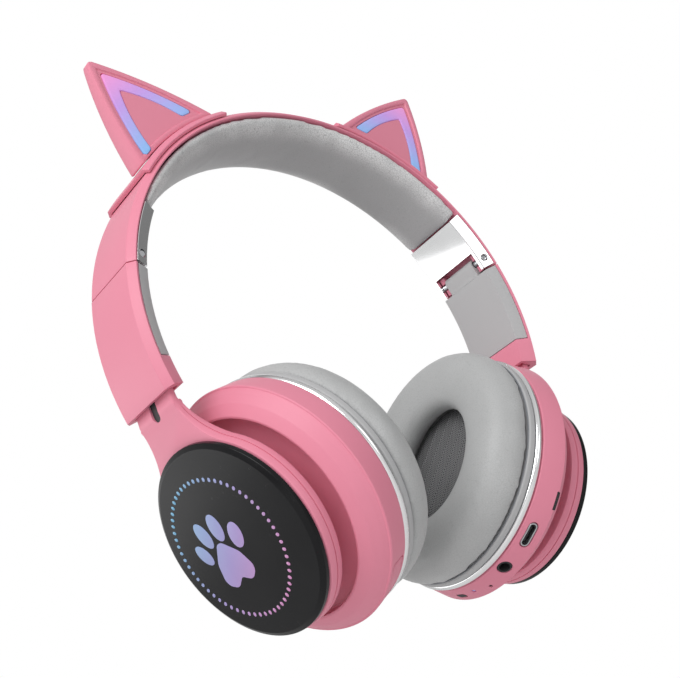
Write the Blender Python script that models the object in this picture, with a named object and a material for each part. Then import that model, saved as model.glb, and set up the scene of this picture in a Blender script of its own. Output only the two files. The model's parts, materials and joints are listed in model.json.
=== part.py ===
"""Folding wireless gaming headset with cat ears, every piece as its own closed solid.

Metres, +Z up.  The origin lies on the ground, midway between the two ear cups; +X is the side with
the sockets (named R here), -X the side with the keys (L), and the wearer faces -Y.
Run it with: blender --background --python part.py
"""

import math

import bmesh
import bpy
import numpy as np
from mathutils import Matrix, Vector

MM = 0.001
GAP = 0.3  # clearance between touching pieces, mm

# ---- driving dimensions (mm and degrees) -------------------------------------------------------
CUP_LEAN = 23.4  # the outer face of a cup looks outward and this far downward
CUP_X = 35.9  # centre of the cup's rim plane
RIM_R = 39.4  # cup rim
RIDGE_R, RIDGE_AX = 40.4, 8.0  # widest ring of the cup, and its place along the cup's axis
CUP_Z = RIDGE_R * math.cos(math.radians(CUP_LEAN)) + RIDGE_AX * math.sin(math.radians(CUP_LEAN))

BAND_Z = CUP_Z + 54.1  # centre of the headband's arc
BAND_R = 80.0  # outer surface of headband and arms
EDGE_R, EDGE_Y = 77.9, 14.4  # widest edge of the band, below the outer chamfer
FLAT_Y = 12.0  # half width of the flat outer surface
INNER_R, INNER_Y = 73.0, 11.9  # inner face of brackets and arms
SHELL_R = 77.5  # underside of the headband's outer shell

PAD_END = 58.2  # angles are measured from the top of the band
BRACKET_TOP, BRACKET_END = 58.6, 75.2
SEAM = 75.55
ARM_TOP, COVER_END, ARM_END = 75.9, 98.4, 105.4

PIN_ANGLE, PIN_AT, PIN_R = 72.6, 75.2, 1.1
KNUCKLE_R = 2.2
TONGUE_Y = 7.6
NOTCH_TOP, NOTCH_Y = 69.6, 10.6  # notch in the bracket round the tongue and the lugs beside it
LUG_INNER, LUG_OUTER = 8.0, 10.2

CHANNEL_LOW, CHANNEL_HIGH, CHANNEL_Y = 74.2, 78.3, 10.9  # hollow of the arm that the neck slides in
NECK_ANGLE, NECK_R = 95.5, 75.6  # where the straight neck runs nearest to the band's centre
NECK_THICK, NECK_Y = 2.2, 10.4
FLARE_R = 22.0  # round corner between neck and plate
NECK_INSIDE = 26.0  # length of neck inside the arm when pushed in
SLOT_Y, SLOT_TOP, SLOT_LENGTH = 1.95, -3.0, 10.0  # recess in the neck, from above the arm's end downward

PIVOT_AX = 15.0  # ball neck, along the cup's axis
PLATE_R, PLATE_BACK, PLATE_FRONT = 31.2, 18.8, 24.2
DISC_R, DISC_BACK, DISC_FRONT, DISC_FLAT_R = 30.9, 24.5, 27.0, 29.4

EAR_TIP_X, EAR_TIP_Z = 68.3, CUP_Z + 73.8 + 75.2
EAR_BASE_R, EAR_START, EAR_STOP = 82.0, 19.5, 47.5
EAR_FRONT_Y, EAR_DEPTH, EAR_TIP_DEPTH = -11.2, 8.6, 4.4
LIGHT_INSET, LIGHT_FEET, LIGHT_BOW = (2.3, 6.4), (3.4, 0.8), 1.2

ROUND = 40  # sides of the large turned pieces


# ---- finishes ----------------------------------------------------------------------------------
def finish(name, colour, roughness, metallic=0.0):
    """A Principled BSDF material."""
    material = bpy.data.materials.new(name)
    material.use_nodes = True
    shader = material.node_tree.nodes["Principled BSDF"]
    shader.inputs["Base Color"].default_value = (*colour, 1.0)
    shader.inputs["Roughness"].default_value = roughness
    shader.inputs["Metallic"].default_value = metallic
    material.diffuse_color = (*colour, 1.0)
    return material


def make_finishes():
    """Every finish of the headset, by a maker's name."""
    return {
        "pink": finish("pink_plastic", (0.80, 0.25, 0.30), 0.45),
        "grey": finish("grey_plastic", (0.42, 0.42, 0.44), 0.5),
        "pad": finish("pad_leather", (0.33, 0.33, 0.34), 0.6),
        "cushion": finish("cushion_leather", (0.50, 0.50, 0.52), 0.6),
        "chrome": finish("bright_chrome", (0.85, 0.85, 0.87), 0.12, 1.0),
        "steel": finish("spring_steel", (0.55, 0.56, 0.58), 0.35, 1.0),
        "black": finish("black_gloss", (0.01, 0.01, 0.012), 0.15),
        "dark": finish("dark_plastic", (0.03, 0.03, 0.033), 0.5),
        "mesh": finish("speaker_cloth", (0.06, 0.06, 0.065), 0.9),
        "light": finish("light_guide", (0.45, 0.50, 0.85), 0.3),
        "board": finish("board_green", (0.02, 0.16, 0.08), 0.5),
        "cell": finish("battery_wrap", (0.25, 0.26, 0.28), 0.4),
    }


# ---- making solids -----------------------------------------------------------------------------
def solid(name, points, faces, material, smooth=True):
    """An object from points in mm (world place) and faces, its faces turned outward."""
    mesh = bpy.data.meshes.new(name)
    mesh.from_pydata([tuple(MM * c for c in p) for p in points], [], faces)
    work = bmesh.new()
    work.from_mesh(mesh)
    bmesh.ops.recalc_face_normals(work, faces=work.faces)
    work.to_mesh(mesh)
    work.free()
    if smooth:
        mesh.shade_smooth()
        mesh.set_sharp_from_angle(angle=math.radians(32))
    mesh.materials.append(material)
    thing = bpy.data.objects.new(name, mesh)
    bpy.context.scene.collection.objects.link(thing)
    return thing


def bridge(rings, closed):
    """Quads between equal rings of point numbers, and end caps unless the run of rings is closed."""
    count = len(rings[0])
    pairs = list(zip(rings, rings[1:] + rings[:1])) if closed else list(zip(rings, rings[1:]))
    faces = []
    for low, high in pairs:
        for i in range(count):
            j = (i + 1) % count
            faces.append((low[i], low[j], high[j], high[i]))
    if not closed:
        faces.append(tuple(rings[0]))
        faces.append(tuple(reversed(rings[-1])))
    return faces


def loft(name, sections, material, smooth=True):
    """A solid through equal closed sections, with flat ends."""
    count = len(sections[0])
    points = [p for section in sections for p in section]
    rings = [list(range(k * count, (k + 1) * count)) for k in range(len(sections))]
    return solid(name, points, bridge(rings, False), material, smooth)


def band_point(r, angle, y, side=1):
    """A point of the headband: radius from the arc's centre, angle from its top, and place across."""
    a = math.radians(angle)
    return (side * r * math.sin(a), y, BAND_Z + r * math.cos(a))


def arc_solid(name, section, start, end, steps, material, side=1):
    """A closed section of (radius, y) points carried round the headband's arc."""
    angles = np.linspace(start, end, steps + 1)
    return loft(name, [[band_point(r, a, y, side) for r, y in section] for a in angles], material)


class CupFrame:
    """The frame of one ear cup: its axis runs outward, and turns start at its lowest point."""

    def __init__(self, side):
        lean = math.radians(CUP_LEAN)
        self.side = side
        self.centre = Vector((side * CUP_X, 0.0, CUP_Z))
        self.out = Vector((side * math.cos(lean), 0.0, -math.sin(lean)))
        self.up = Vector((side * math.sin(lean), 0.0, math.cos(lean)))

    def at(self, r, turn, along):
        """Radius from the axis, degrees from the bottom toward the front, and place along the axis."""
        a = math.radians(turn)
        across = -self.up * math.cos(a) + Vector((0.0, -math.sin(a), 0.0))
        return tuple(self.centre + self.out * along + across * r)

    def radial(self, turn):
        """The outward direction of the rim at a turn."""
        a = math.radians(turn)
        return -self.up * math.cos(a) + Vector((0.0, -math.sin(a), 0.0))

    def tangent(self, turn):
        """The direction along the rim at a turn."""
        a = math.radians(turn)
        return self.up * math.sin(a) + Vector((0.0, -math.cos(a), 0.0))


def turned(name, profile, cup, material, sides=ROUND, closed=True):
    """A profile of (radius, along) points turned about a cup's axis; an open one starts and ends on it."""
    points, rings = [], []
    for r, along in profile:
        turns = [0.0] if r == 0.0 else [360.0 * k / sides for k in range(sides)]
        rings.append(list(range(len(points), len(points) + len(turns))))
        points += [cup.at(r, t, along) for t in turns]
    faces = []
    pairs = list(zip(rings, rings[1:] + rings[:1])) if closed else list(zip(rings, rings[1:]))
    for low, high in pairs:
        for i in range(sides):
            j = (i + 1) % sides
            if len(low) == 1:
                faces.append((low[0], high[j], high[i]))
            elif len(high) == 1:
                faces.append((low[i], low[j], high[0]))
            else:
                faces.append((low[i], low[j], high[j], high[i]))
    return solid(name, points, faces, material)


def prism(name, outline, y_low, y_high, material, smooth=True):
    """An outline of (x, z) points given depth across the headset."""
    return loft(name, [[(x, y, z) for x, z in outline] for y in (y_low, y_high)], material, smooth)


def block(name, centre, axes, sizes, material):
    """A box at a centre, with three axes and its full sizes along them."""
    a, b, c = (Vector(v) * (s / 2) for v, s in zip(axes, sizes))
    centre = Vector(centre)
    ring = [a + b, a - b, -a - b, b - a]
    return loft(name, [[tuple(centre + p + e) for p in ring] for e in (-c, c)], material, False)


def rod(name, start, end, radius, material, sides=16):
    """A round bar between two points."""
    start, end = Vector(start), Vector(end)
    way = (end - start).normalized()
    side = way.orthogonal().normalized()
    other = way.cross(side)
    turns = [2 * math.pi * k / sides for k in range(sides)]
    ring = [side * math.cos(t) * radius + other * math.sin(t) * radius for t in turns]
    return loft(name, [[tuple(p + e) for p in ring] for e in (start, end)], material)


def combine(thing, tool, operation):
    """An exact Boolean of an object with a tool that the model leaves out."""
    tool.hide_render = True
    tool.display_type = "WIRE"
    step = thing.modifiers.new(tool.name, "BOOLEAN")
    step.operation = operation
    step.solver = "EXACT"
    step.object = tool


def cut(thing, tool):
    """Take a tool's shape out of an object."""
    combine(thing, tool, "DIFFERENCE")


def join(thing, tool):
    """Add a tool's shape to an object."""
    combine(thing, tool, "UNION")


def pivot(name, place, parent=None):
    """An empty on a joint's axis, at a place in mm."""
    empty = bpy.data.objects.new(name, None)
    bpy.context.scene.collection.objects.link(empty)
    empty.location = Vector(place) * MM
    empty["place"] = tuple(empty.location)
    if parent is not None:
        attach(empty, parent)
    return empty


def attach(thing, empty):
    """Parent an object to an empty without moving it."""
    thing.parent = empty
    thing.matrix_parent_inverse = Matrix.Translation(-Vector(empty["place"]))


def bow(start, end, rise, count):
    """Points of a shallow curve from start to end in a plane, standing rise off the chord's middle."""
    start, end = Vector(start), Vector(end)
    across = Vector((start.y - end.y, end.x - start.x)).normalized()
    return [tuple(start.lerp(end, t) + across * (4 * rise * t * (1 - t))) for t in np.linspace(0, 1, count)]


# ---- headband ----------------------------------------------------------------------------------
def outer_edge():
    """The band's outer outline, from its front edge to its back edge, as (radius, y)."""
    return [(EDGE_R, -EDGE_Y), (BAND_R, -FLAT_Y), (BAND_R, FLAT_Y), (EDGE_R, EDGE_Y)]


def make_headband(f):
    """Outer shell, spring strip and underside pad, which run from side to side."""
    shell = outer_edge() + [(SHELL_R, EDGE_Y - 0.3), (SHELL_R, -EDGE_Y + 0.3)]
    arc_solid("headband_shell", shell, -SEAM, SEAM, 40, f["pink"])
    strip_y, strip_low = 7.0, 76.2
    strip_high = SHELL_R - GAP
    strip = [(strip_low, -strip_y), (strip_high, -strip_y), (strip_high, strip_y), (strip_low, strip_y)]
    arc_solid("spring_strip", strip, -PAD_END + 2, PAD_END - 2, 24, f["steel"])
    pad_top, seat, step = SHELL_R - GAP, strip_low - GAP, strip_y + GAP
    sections = []
    for angle in np.linspace(-PAD_END, PAD_END, 31):
        thin = 3.0 * abs(angle / PAD_END) ** 3  # the pad thins toward its ends
        sections.append([
            band_point(r, angle, y)
            for r, y in (
                (pad_top, -14.1), (pad_top, -step), (seat, -step), (seat, step), (pad_top, step),
                (pad_top, 14.1), (75.0, 13.9), (72.4 + thin / 2, 11.6), (70.8 + thin, 7.0),
                (70.3 + thin, 0.0), (70.8 + thin, -7.0), (72.4 + thin / 2, -11.6), (75.0, -13.9),
            )
        ])
    loft("headband_pad", sections, f["pad"])


# ---- ears --------------------------------------------------------------------------------------
def ear_outline():
    """The three corners of an ear in the plane of the headband, as (x, z)."""
    start = band_point(EAR_BASE_R, EAR_START, 0)
    stop = band_point(EAR_BASE_R, EAR_STOP, 0)
    return Vector((start[0], start[2])), Vector((EAR_TIP_X, EAR_TIP_Z)), Vector((stop[0], stop[2]))


def inset_corner(a, b, c, distance):
    """The corner b moved inward so that both its edges lie a distance inside."""
    inner = (a - b).normalized(), (c - b).normalized()
    half = inner[0].angle(inner[1]) / 2
    return b + (inner[0] + inner[1]).normalized() * (distance / math.sin(half))


def ear_height(x, z):
    """How far a point stands above the ear's base, from 0 at the base to 1 at the tip."""
    reach = math.hypot(EAR_TIP_X, EAR_TIP_Z - BAND_Z) - EAR_BASE_R
    return (math.hypot(x, z - BAND_Z) - EAR_BASE_R) / reach


def ear_front(x, z):
    """The y of the ear's front face over a point."""
    return EAR_FRONT_Y + 1.4 * ear_height(x, z)


def ray_to_arc(start, way, radius):
    """Where a ray from start meets the circle of a radius about the band's centre."""
    centre = Vector((0.0, BAND_Z))
    way = way.normalized()
    toward = (start - centre).dot(way)
    gap = (start - centre).length_squared - radius**2
    return start + way * (-toward - math.sqrt(toward**2 - gap))


def light_outline(low, high, gap=0.0):
    """The light guide's bowed V, between two distances inside the ear's edges, smaller by a gap."""
    a, t, b = ear_outline()
    legs = []
    for distance in (low + gap, high - gap):
        tip = inset_corner(a, t, b, distance)
        ends = [
            ray_to_arc(tip, corner - t, EAR_BASE_R + foot + gap)
            for corner, foot in ((a, LIGHT_FEET[0]), (b, LIGHT_FEET[1]))
        ]
        legs.append(bow(ends[0], tip, LIGHT_BOW, 5)[:-1] + bow(tip, ends[1], LIGHT_BOW, 5))
    return legs[0] + legs[1][::-1]


def make_ear(side, tag, f):
    """Ear shell with the groove of its light guide, the guide, and the saddle on the band."""
    saddle = [
        (80.3, -12.1), (79.2, -13.4), (80.0, -14.2), (81.7, -12.4),
        (81.7, 12.4), (80.0, 14.2), (79.2, 13.4), (80.3, 12.1),
    ]
    arc_solid(f"ear_saddle_{tag}", saddle, 17.5, 50.0, 9, f["pink"], side)

    a, t, b = ear_outline()
    edge = bow(a, t, 1.6, 7)[:-1] + [tuple(t)] + bow(t, b, 1.6, 7)[1:]
    base = [band_point(EAR_BASE_R, g, 0) for g in np.linspace(EAR_STOP, EAR_START, 8)[1:-1]]
    outline = edge + [(p[0], p[2]) for p in base]
    front, back = [], []
    for x, z in outline:
        near = ear_front(x, z)
        front.append((side * x, near, z))
        back.append((side * x, near + EAR_DEPTH + (EAR_TIP_DEPTH - EAR_DEPTH) * ear_height(x, z), z))
    shell = loft(f"ear_shell_{tag}", [front, back], f["pink"], False)

    depth, sunk = 1.5, 0.3
    groove = [(side * x, z) for x, z in light_outline(*LIGHT_INSET)]
    tool = loft(
        f"ear_groove_{tag}",
        [[(x, ear_front(abs(x), z) + off, z) for x, z in groove] for off in (-2.0, depth)],
        f["pink"], False,
    )
    cut(shell, tool)
    guide = [(side * x, z) for x, z in light_outline(*LIGHT_INSET, GAP)]
    loft(
        f"ear_light_{tag}",
        [[(x, ear_front(abs(x), z) + off, z) for x, z in guide] for off in (sunk, depth - GAP)],
        f["light"], False,
    )


# ---- hinge and arm -----------------------------------------------------------------------------
def make_bracket(side, tag, f):
    """Bright U-shaped bracket with a notch for the arm's tongue, the pin, and the shell's two lugs."""
    top, wall = SHELL_R - GAP, 1.2
    side_y = INNER_Y + (EDGE_Y - INNER_Y) * (top - INNER_R) / (EDGE_R - INNER_R)
    outer = [(top, -side_y), (INNER_R, -INNER_Y), (INNER_R, INNER_Y), (top, side_y)]
    low_r, low_y = INNER_R + wall, INNER_Y - 0.9
    inner = [(top, side_y - wall), (low_r, low_y), (low_r, -low_y), (top, wall - side_y)]
    bracket = arc_solid(f"hinge_bracket_{tag}", outer + inner, BRACKET_TOP, BRACKET_END, 6, f["chrome"], side)
    notch = channel(INNER_R - 2, INNER_R + 2.4, NOTCH_Y)
    cut(bracket, arc_solid(f"bracket_notch_{tag}", notch, NOTCH_TOP, 77.0, 3, f["chrome"], side))
    pin = band_point(PIN_AT, PIN_ANGLE, 0, side)
    hole = rod(f"pin_hole_{tag}", (pin[0], -20, pin[2]), (pin[0], 20, pin[2]), PIN_R + GAP, f["steel"], 16)
    cut(bracket, hole)

    shell = bpy.data.objects["headband_shell"]
    for way in (-1, 1):
        inner, outer = way * LUG_INNER, way * LUG_OUTER
        section = [(74.7, inner), (78.2, inner), (78.2, outer), (74.7, outer)]
        lug = arc_solid(f"lug_{tag}", section, NOTCH_TOP + 0.4, BRACKET_END, 3, f["pink"], side)
        ends = (pin[0], -20, pin[2]), (pin[0], 20, pin[2])
        cut(lug, rod(f"lug_hole_{tag}", *ends, PIN_R + GAP, f["steel"], 16))
        join(shell, lug)
    half = 12.9
    rod(f"hinge_pin_{tag}", (pin[0], -half, pin[2]), (pin[0], half, pin[2]), PIN_R, f["steel"], 16)


def channel(low, high, half):
    """A rectangle of (radius, y) points."""
    return [(low, -half), (high, -half), (high, half), (low, half)]


def make_arm(side, tag, f, fold):
    """Arm shell, and the inner cover with the tongue that the pin goes through; they fold together."""
    body = outer_edge() + [(INNER_R, INNER_Y), (INNER_R, -INNER_Y)]
    shell = arc_solid(f"arm_shell_{tag}", body, ARM_TOP, ARM_END, 12, f["pink"], side)
    seat = [
        (EDGE_R - 0.7, 18.0), (EDGE_R - 0.7, 11.4), (CHANNEL_HIGH, CHANNEL_Y),
        (CHANNEL_HIGH, -CHANNEL_Y), (EDGE_R - 0.7, -11.4), (EDGE_R - 0.7, -18.0),
        (INNER_R - 4, -18.0), (INNER_R - 4, 18.0),
    ]
    cut(shell, arc_solid(f"cover_seat_{tag}", seat, ARM_TOP - 1, COVER_END + 0.12, 10, f["pink"], side))
    bore = channel(CHANNEL_LOW, CHANNEL_HIGH - 0.05, CHANNEL_Y - 0.05)
    cut(shell, arc_solid(f"arm_bore_{tag}", bore, COVER_END - 2, ARM_END + 2, 5, f["pink"], side))

    lip_r = EDGE_R - 0.7 - GAP
    lip_y = INNER_Y + (EDGE_Y - INNER_Y) * (lip_r - INNER_R) / (EDGE_R - INNER_R)
    cover_section = [
        (lip_r, -lip_y), (INNER_R, -INNER_Y), (INNER_R, INNER_Y), (lip_r, lip_y),
        (lip_r, CHANNEL_Y), (CHANNEL_LOW, CHANNEL_Y), (CHANNEL_LOW, -CHANNEL_Y), (lip_r, -CHANNEL_Y),
    ]
    cover = arc_solid(f"arm_cover_{tag}", cover_section, ARM_TOP, COVER_END - 0.12, 9, f["grey"], side)

    pin = band_point(PIN_AT, PIN_ANGLE, 0, side)
    foot = [band_point(PIN_AT + KNUCKLE_R, a, 0, side) for a in (75.0, 77.5, 80.0, 82.0)]
    heel = [band_point(INNER_R + 0.1, a, 0, side) for a in (82.0, 78.2, 74.5)]
    outline = knuckle_outline(pin, side) + [(p[0], p[2]) for p in foot + heel]
    tongue = prism(f"tongue_{tag}", outline, -TONGUE_Y, TONGUE_Y, f["grey"])
    ends = (pin[0], -20, pin[2]), (pin[0], 20, pin[2])
    cut(tongue, rod(f"tongue_hole_{tag}", *ends, PIN_R + GAP, f["steel"], 16))
    join(cover, tongue)
    for piece in (shell, cover):
        attach(piece, fold)


def knuckle_outline(pin, side):
    """The tongue's round end: half a circle over the pin, from its inner side to its outer side."""
    points = []
    for turn in np.linspace(-90, 90, 9):
        a = math.radians(PIN_ANGLE + turn - 90)
        points.append((pin[0] + side * KNUCKLE_R * math.sin(a), pin[2] + KNUCKLE_R * math.cos(a)))
    return points


# ---- yoke --------------------------------------------------------------------------------------
def slide_way(side):
    """The direction in which a yoke slides out of its arm."""
    a = math.radians(NECK_ANGLE)
    return Vector((side * math.cos(a), 0.0, -math.sin(a)))


def flare_top():
    """Where the flare's round corners leave the neck's straight edges, up from the plate's centre."""
    return math.sqrt((PLATE_R + FLARE_R) ** 2 - (NECK_Y + FLARE_R) ** 2)


def flare(name, cup, material):
    """The web between neck and plate, whose round corners are tangent to both."""
    top = flare_top()
    rise = math.atan2(NECK_Y + FLARE_R, top)  # bearing of a corner's centre from the plate's centre
    edge = []
    for t in np.linspace(0.0, math.pi / 2 - rise, 8):
        edge.append((top - FLARE_R * math.sin(t), NECK_Y + FLARE_R - FLARE_R * math.cos(t)))
    foot = edge[-1][1] * 0.7
    outline = edge + [(12.0, foot), (12.0, -foot)] + [(u, -y) for u, y in reversed(edge)]
    sections = []
    for along in (PLATE_BACK + 0.2, PLATE_FRONT - 0.4):
        base = cup.centre + cup.out * along
        sections.append([tuple(base + cup.up * u + Vector((0.0, y, 0.0))) for u, y in outline])
    return loft(name, sections, material)


def neck_slot(name, high, low, over, material):
    """The round-ended recess in the neck's outer face, between two points of its floor."""
    along = (low - high).normalized()
    rise = (over - along * over.dot(along)).normalized()
    length = (low - high).length
    outline = []
    for end, start in ((SLOT_Y, 90), (length - SLOT_Y, -90)):
        for t in np.radians(start + np.linspace(0.0, 180.0, 7)):
            outline.append((end + SLOT_Y * math.cos(t), SLOT_Y * math.sin(t)))
    sections = []
    for height in (0.0, 4.0):
        base = high + rise * height
        sections.append([tuple(base + along * u + Vector((0.0, y, 0.0))) for u, y in outline])
    return loft(name, sections, material)


def make_yoke(side, tag, f, slide):
    """Yoke of plate, stem, ball and neck in one piece, with the face disc and its lamp board."""
    cup = CupFrame(side)
    ball, stem = 6.0, 3.8
    ball_turns = np.radians(np.linspace(0, 140, 6))
    profile = [(0.0, PIVOT_AX - ball)]
    profile += [(ball * math.sin(t), PIVOT_AX - ball * math.cos(t)) for t in ball_turns[1:]]
    profile += [
        (stem, PLATE_BACK + 0.2), (PLATE_R, PLATE_BACK), (PLATE_R + 0.3, PLATE_BACK + 1.2),
        (PLATE_R + 0.3, PLATE_FRONT), (0.0, PLATE_FRONT),
    ]
    yoke = turned(f"yoke_{tag}", profile, cup, f["pink"], closed=False)

    way = slide_way(side)
    near = Vector(band_point(NECK_R, NECK_ANGLE, 0, side))
    exit_run = BAND_R * math.radians(ARM_END - NECK_ANGLE)
    top = near + way * (exit_run - NECK_INSIDE)
    leave = near + way * (exit_run + 0.5)
    thick = Vector((way.z, 0.0, -way.x)) * (-side)
    plate_mid = (PLATE_BACK + PLATE_FRONT) / 2
    bend = cup.centre + cup.out * plate_mid + cup.up * (flare_top() - 0.5)
    stations = [
        (top, thick, NECK_THICK), (leave, thick, NECK_THICK), (leave + way * 1.6, thick, 3.2),
        (bend, cup.out, 4.4), (bend - cup.up * 6.0, cup.out, 4.8),
    ]
    sections = []
    for place, over, depth in stations:
        y = Vector((0.0, NECK_Y, 0.0))
        o = over * (depth / 2)
        sections.append([tuple(place + p) for p in (o + y, o - y, -o - y, y - o)])
    join(yoke, loft(f"neck_{tag}", sections, f["pink"]))
    join(yoke, flare(f"flare_{tag}", cup, f["pink"]))
    high = leave + way * SLOT_TOP + thick * (NECK_THICK / 2 - 1.0)
    low = bend + cup.out * 0.6
    low = high + (low - high).normalized() * SLOT_LENGTH
    cut(yoke, neck_slot(f"neck_slot_{tag}", high, low, thick, f["pink"]))
    pocket_r, floor = PLATE_R - 1.6, PLATE_BACK + 2.4
    pocket = [(0.0, floor), (pocket_r, floor), (pocket_r, PLATE_FRONT + 3), (0.0, PLATE_FRONT + 3)]
    cut(yoke, turned(f"plate_pocket_{tag}", pocket, cup, f["pink"], closed=False))
    attach(yoke, slide)

    face = [(0.0, DISC_BACK), (DISC_R, DISC_BACK), (DISC_R, DISC_FRONT - 0.9), (DISC_FLAT_R, DISC_FRONT)]
    face.append((0.0, DISC_FRONT))
    attach(turned(f"face_disc_{tag}", face, cup, f["black"], closed=False), slide)
    board_r, low, high = pocket_r - 0.6, floor + 0.4, floor + 1.6
    board = [(0.0, low), (board_r, low), (board_r, high), (0.0, high)]
    lamps = turned(f"lamp_board_{tag}", board, cup, f["board"], 32, closed=False)
    attach(lamps, slide)


def make_collar(side, tag, f, swivel):
    """Collar that grips the ball and carries the cup."""
    half, inner, outer = 2.5, 6.3, 9.6
    reach = math.degrees(math.asin(half / inner))
    wide = math.degrees(math.asin(half / outer))
    profile = [
        (inner * math.cos(math.radians(t)), PIVOT_AX + inner * math.sin(math.radians(t)))
        for t in np.linspace(-reach, reach, 4)
    ]
    profile += [
        (outer * math.cos(math.radians(t)), PIVOT_AX + outer * math.sin(math.radians(t)))
        for t in np.linspace(wide, -wide, 4)
    ]
    attach(turned(f"swivel_collar_{tag}", profile, CupFrame(side), f["dark"], 24), swivel)


# ---- cup ---------------------------------------------------------------------------------------
def rim_block(name, cup, turn, along, sizes, reach, material):
    """A box in the rim wall: sizes along the rim, along the axis and into the rim, reach its outer end."""
    centre = Vector(cup.at(reach - sizes[2] / 2, turn, along))
    return block(name, centre, (cup.tangent(turn), cup.out, cup.radial(turn)), sizes, material)


def rim_at(along):
    """Radius of the rim wall, which widens from the rim to the ridge."""
    return RIM_R + (RIDGE_R - RIM_R) * along / RIDGE_AX


def key_pad(name, cup, start, stop, low, high, proud, root, material):
    """A key that follows the rim between two turns and stands a little proud of it."""
    steps = max(2, round((stop - start) / 4))
    sections = []
    for turn in np.linspace(start, stop, steps + 1):
        corners = (root, low), (rim_at(low) + proud, low), (rim_at(high) + proud, high), (root, high)
        sections.append([cup.at(r, turn, z) for r, z in corners])
    return loft(name, sections, material)


def make_cup(side, tag, f, tilt):
    """Cup shell, trim ring, baffle, driver, speaker cloth, screws and cushion."""
    cup = CupFrame(side)
    shell = turned(f"cup_shell_{tag}", [
        (RIM_R, 0.0), (RIDGE_R, RIDGE_AX), (39.8, 8.4), (38.6, 9.6), (36.4, 11.9), (33.4, 14.0), (32.6, 14.0),
        (32.6, 10.0), (12.6, 10.0), (12.6, 16.2), (10.0, 16.2), (10.0, 8.0), (35.5, 8.0), (37.6, 6.5),
        (37.6, 0.0),
    ], cup, f["pink"])
    trim = [(39.3, -0.3), (39.3, -2.7), (36.0, -2.7), (36.0, -0.3)]
    ring = turned(f"trim_ring_{tag}", trim, cup, f["chrome"])
    baffle = turned(f"baffle_{tag}", [(39.0, -3.0), (39.0, -5.3), (17.0, -5.3), (17.0, -3.0)], cup, f["grey"])
    driver = turned(
        f"driver_{tag}",
        [
            (0.0, -2.2), (15.5, -2.2), (16.5, -2.7), (20.0, -2.7), (20.0, 0.5), (13.5, 3.5), (13.5, 5.8),
            (0.0, 5.8),
        ],
        cup, f["steel"], 32, closed=False,
    )
    sheet = [(0.0, -5.6), (22.4, -5.6), (22.4, -6.3), (0.0, -6.9)]
    cloth = turned(f"speaker_cloth_{tag}", sheet, cup, f["mesh"], 32, closed=False)
    cushion = turned(f"ear_cushion_{tag}", [
        (37.0, -5.6), (39.2, -7.2), (39.5, -11.0), (38.4, -15.0), (35.4, -17.8), (30.0, -19.0), (25.0, -18.7),
        (20.9, -17.2), (18.7, -14.4), (18.6, -11.0), (20.2, -8.4), (22.8, -7.4), (22.8, -5.6),
    ], cup, f["cushion"])
    pieces = [shell, ring, baffle, driver, cloth, cushion]

    for number, turn in enumerate((0, 120, 240), start=1):
        ends = cup.at(30, turn, -2.6), cup.at(30, turn, 7.0)
        pieces.append(rod(f"baffle_screw_{tag}_{number}", *ends, 1.5, f["steel"], 10))
    for piece in pieces:
        attach(piece, tilt)
    return shell


def make_right_sockets(shell, f, tilt):
    """Charging socket, audio jack, card slot, microphone, status light, main board and light key."""
    cup = CupFrame(1)
    wall = 6.0

    at, reach = (39.0, 3.8), rim_at(3.8)
    cut(shell, rim_block("port_window", cup, *at, (8.9, 3.7, wall), reach + 1, f["dark"]))
    port = rim_block("charging_port", cup, *at, (8.1, 2.9, 6.0), reach - 0.2, f["steel"])
    cut(port, rim_block("port_mouth", cup, *at, (7.3, 2.1, 5.0), reach + 0.3, f["dark"]))

    at, reach = (19.5, 3.3), rim_at(3.3)
    hole = rod("jack_window", cup.at(34, *at), cup.at(42, *at), 2.5, f["dark"], 20)
    cut(shell, hole)
    jack = rod("audio_jack", cup.at(28, *at), cup.at(reach - 0.2, *at), 2.15, f["dark"], 20)
    cut(jack, rod("jack_bore", cup.at(30, *at), cup.at(42, *at), 1.75, f["dark"], 16))

    at, reach = (57.4, 8.1), RIDGE_R
    cut(shell, rim_block("card_window", cup, *at, (6.3, 2.1, 8.0), reach + 1, f["dark"]))
    card = rim_block("card_slot", cup, *at, (5.7, 1.5, 5.4), reach - 0.5, f["dark"])
    cut(card, rim_block("card_mouth", cup, *at, (5.1, 0.9, 5.0), reach + 0.5, f["dark"]))

    for name, turn, along, radius, material in (
        ("microphone", 5.4, 5.4, 0.6, f["dark"]), ("status_light", -4.0, 3.8, 0.7, f["light"]),
    ):
        ends = cup.at(34, turn, along), cup.at(42, turn, along)
        cut(shell, rod(f"{name}_hole", *ends, radius + GAP, f["dark"], 12))
        ends = cup.at(35, turn, along), cup.at(rim_at(along) - 0.4, turn, along)
        body = rod(name, *ends, radius, material, 12)
        attach(body, tilt)

    middle = cup.centre + cup.out * 6.9 + cup.up * 5.0
    board = block("main_board", middle, (cup.out, cup.up, (0, 1, 0)), (1.2, 20.0, 30.0), f["board"])
    cut(shell, key_pad("light_key_window", cup, -17.9, -11.1, 3.3, 6.0, 1.0, 34, f["pink"]))
    for piece in (port, jack, card, board):
        attach(piece, tilt)


def make_left_inside(shell, f, tilt):
    """Battery, key board, and the window for the flush keys."""
    cup = CupFrame(-1)
    cut(shell, key_pad("keys_window", cup, -12.6, 39.6, 1.0, 7.2, 1.0, 34, f["pink"]))
    middle = cup.centre + cup.out * 2.4 + cup.up * 26.0
    cell = block("battery", middle, (cup.out, cup.up, (0, 1, 0)), (5.0, 9.0, 34.0), f["cell"])
    axes = (cup.tangent(13.5), cup.out, cup.radial(13.5))
    keys = block("key_board", cup.at(33.2, 13.5, 4.0), axes, (22.0, 6.0, 1.2), f["board"])
    for piece in (cell, keys):
        attach(piece, tilt)


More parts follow.
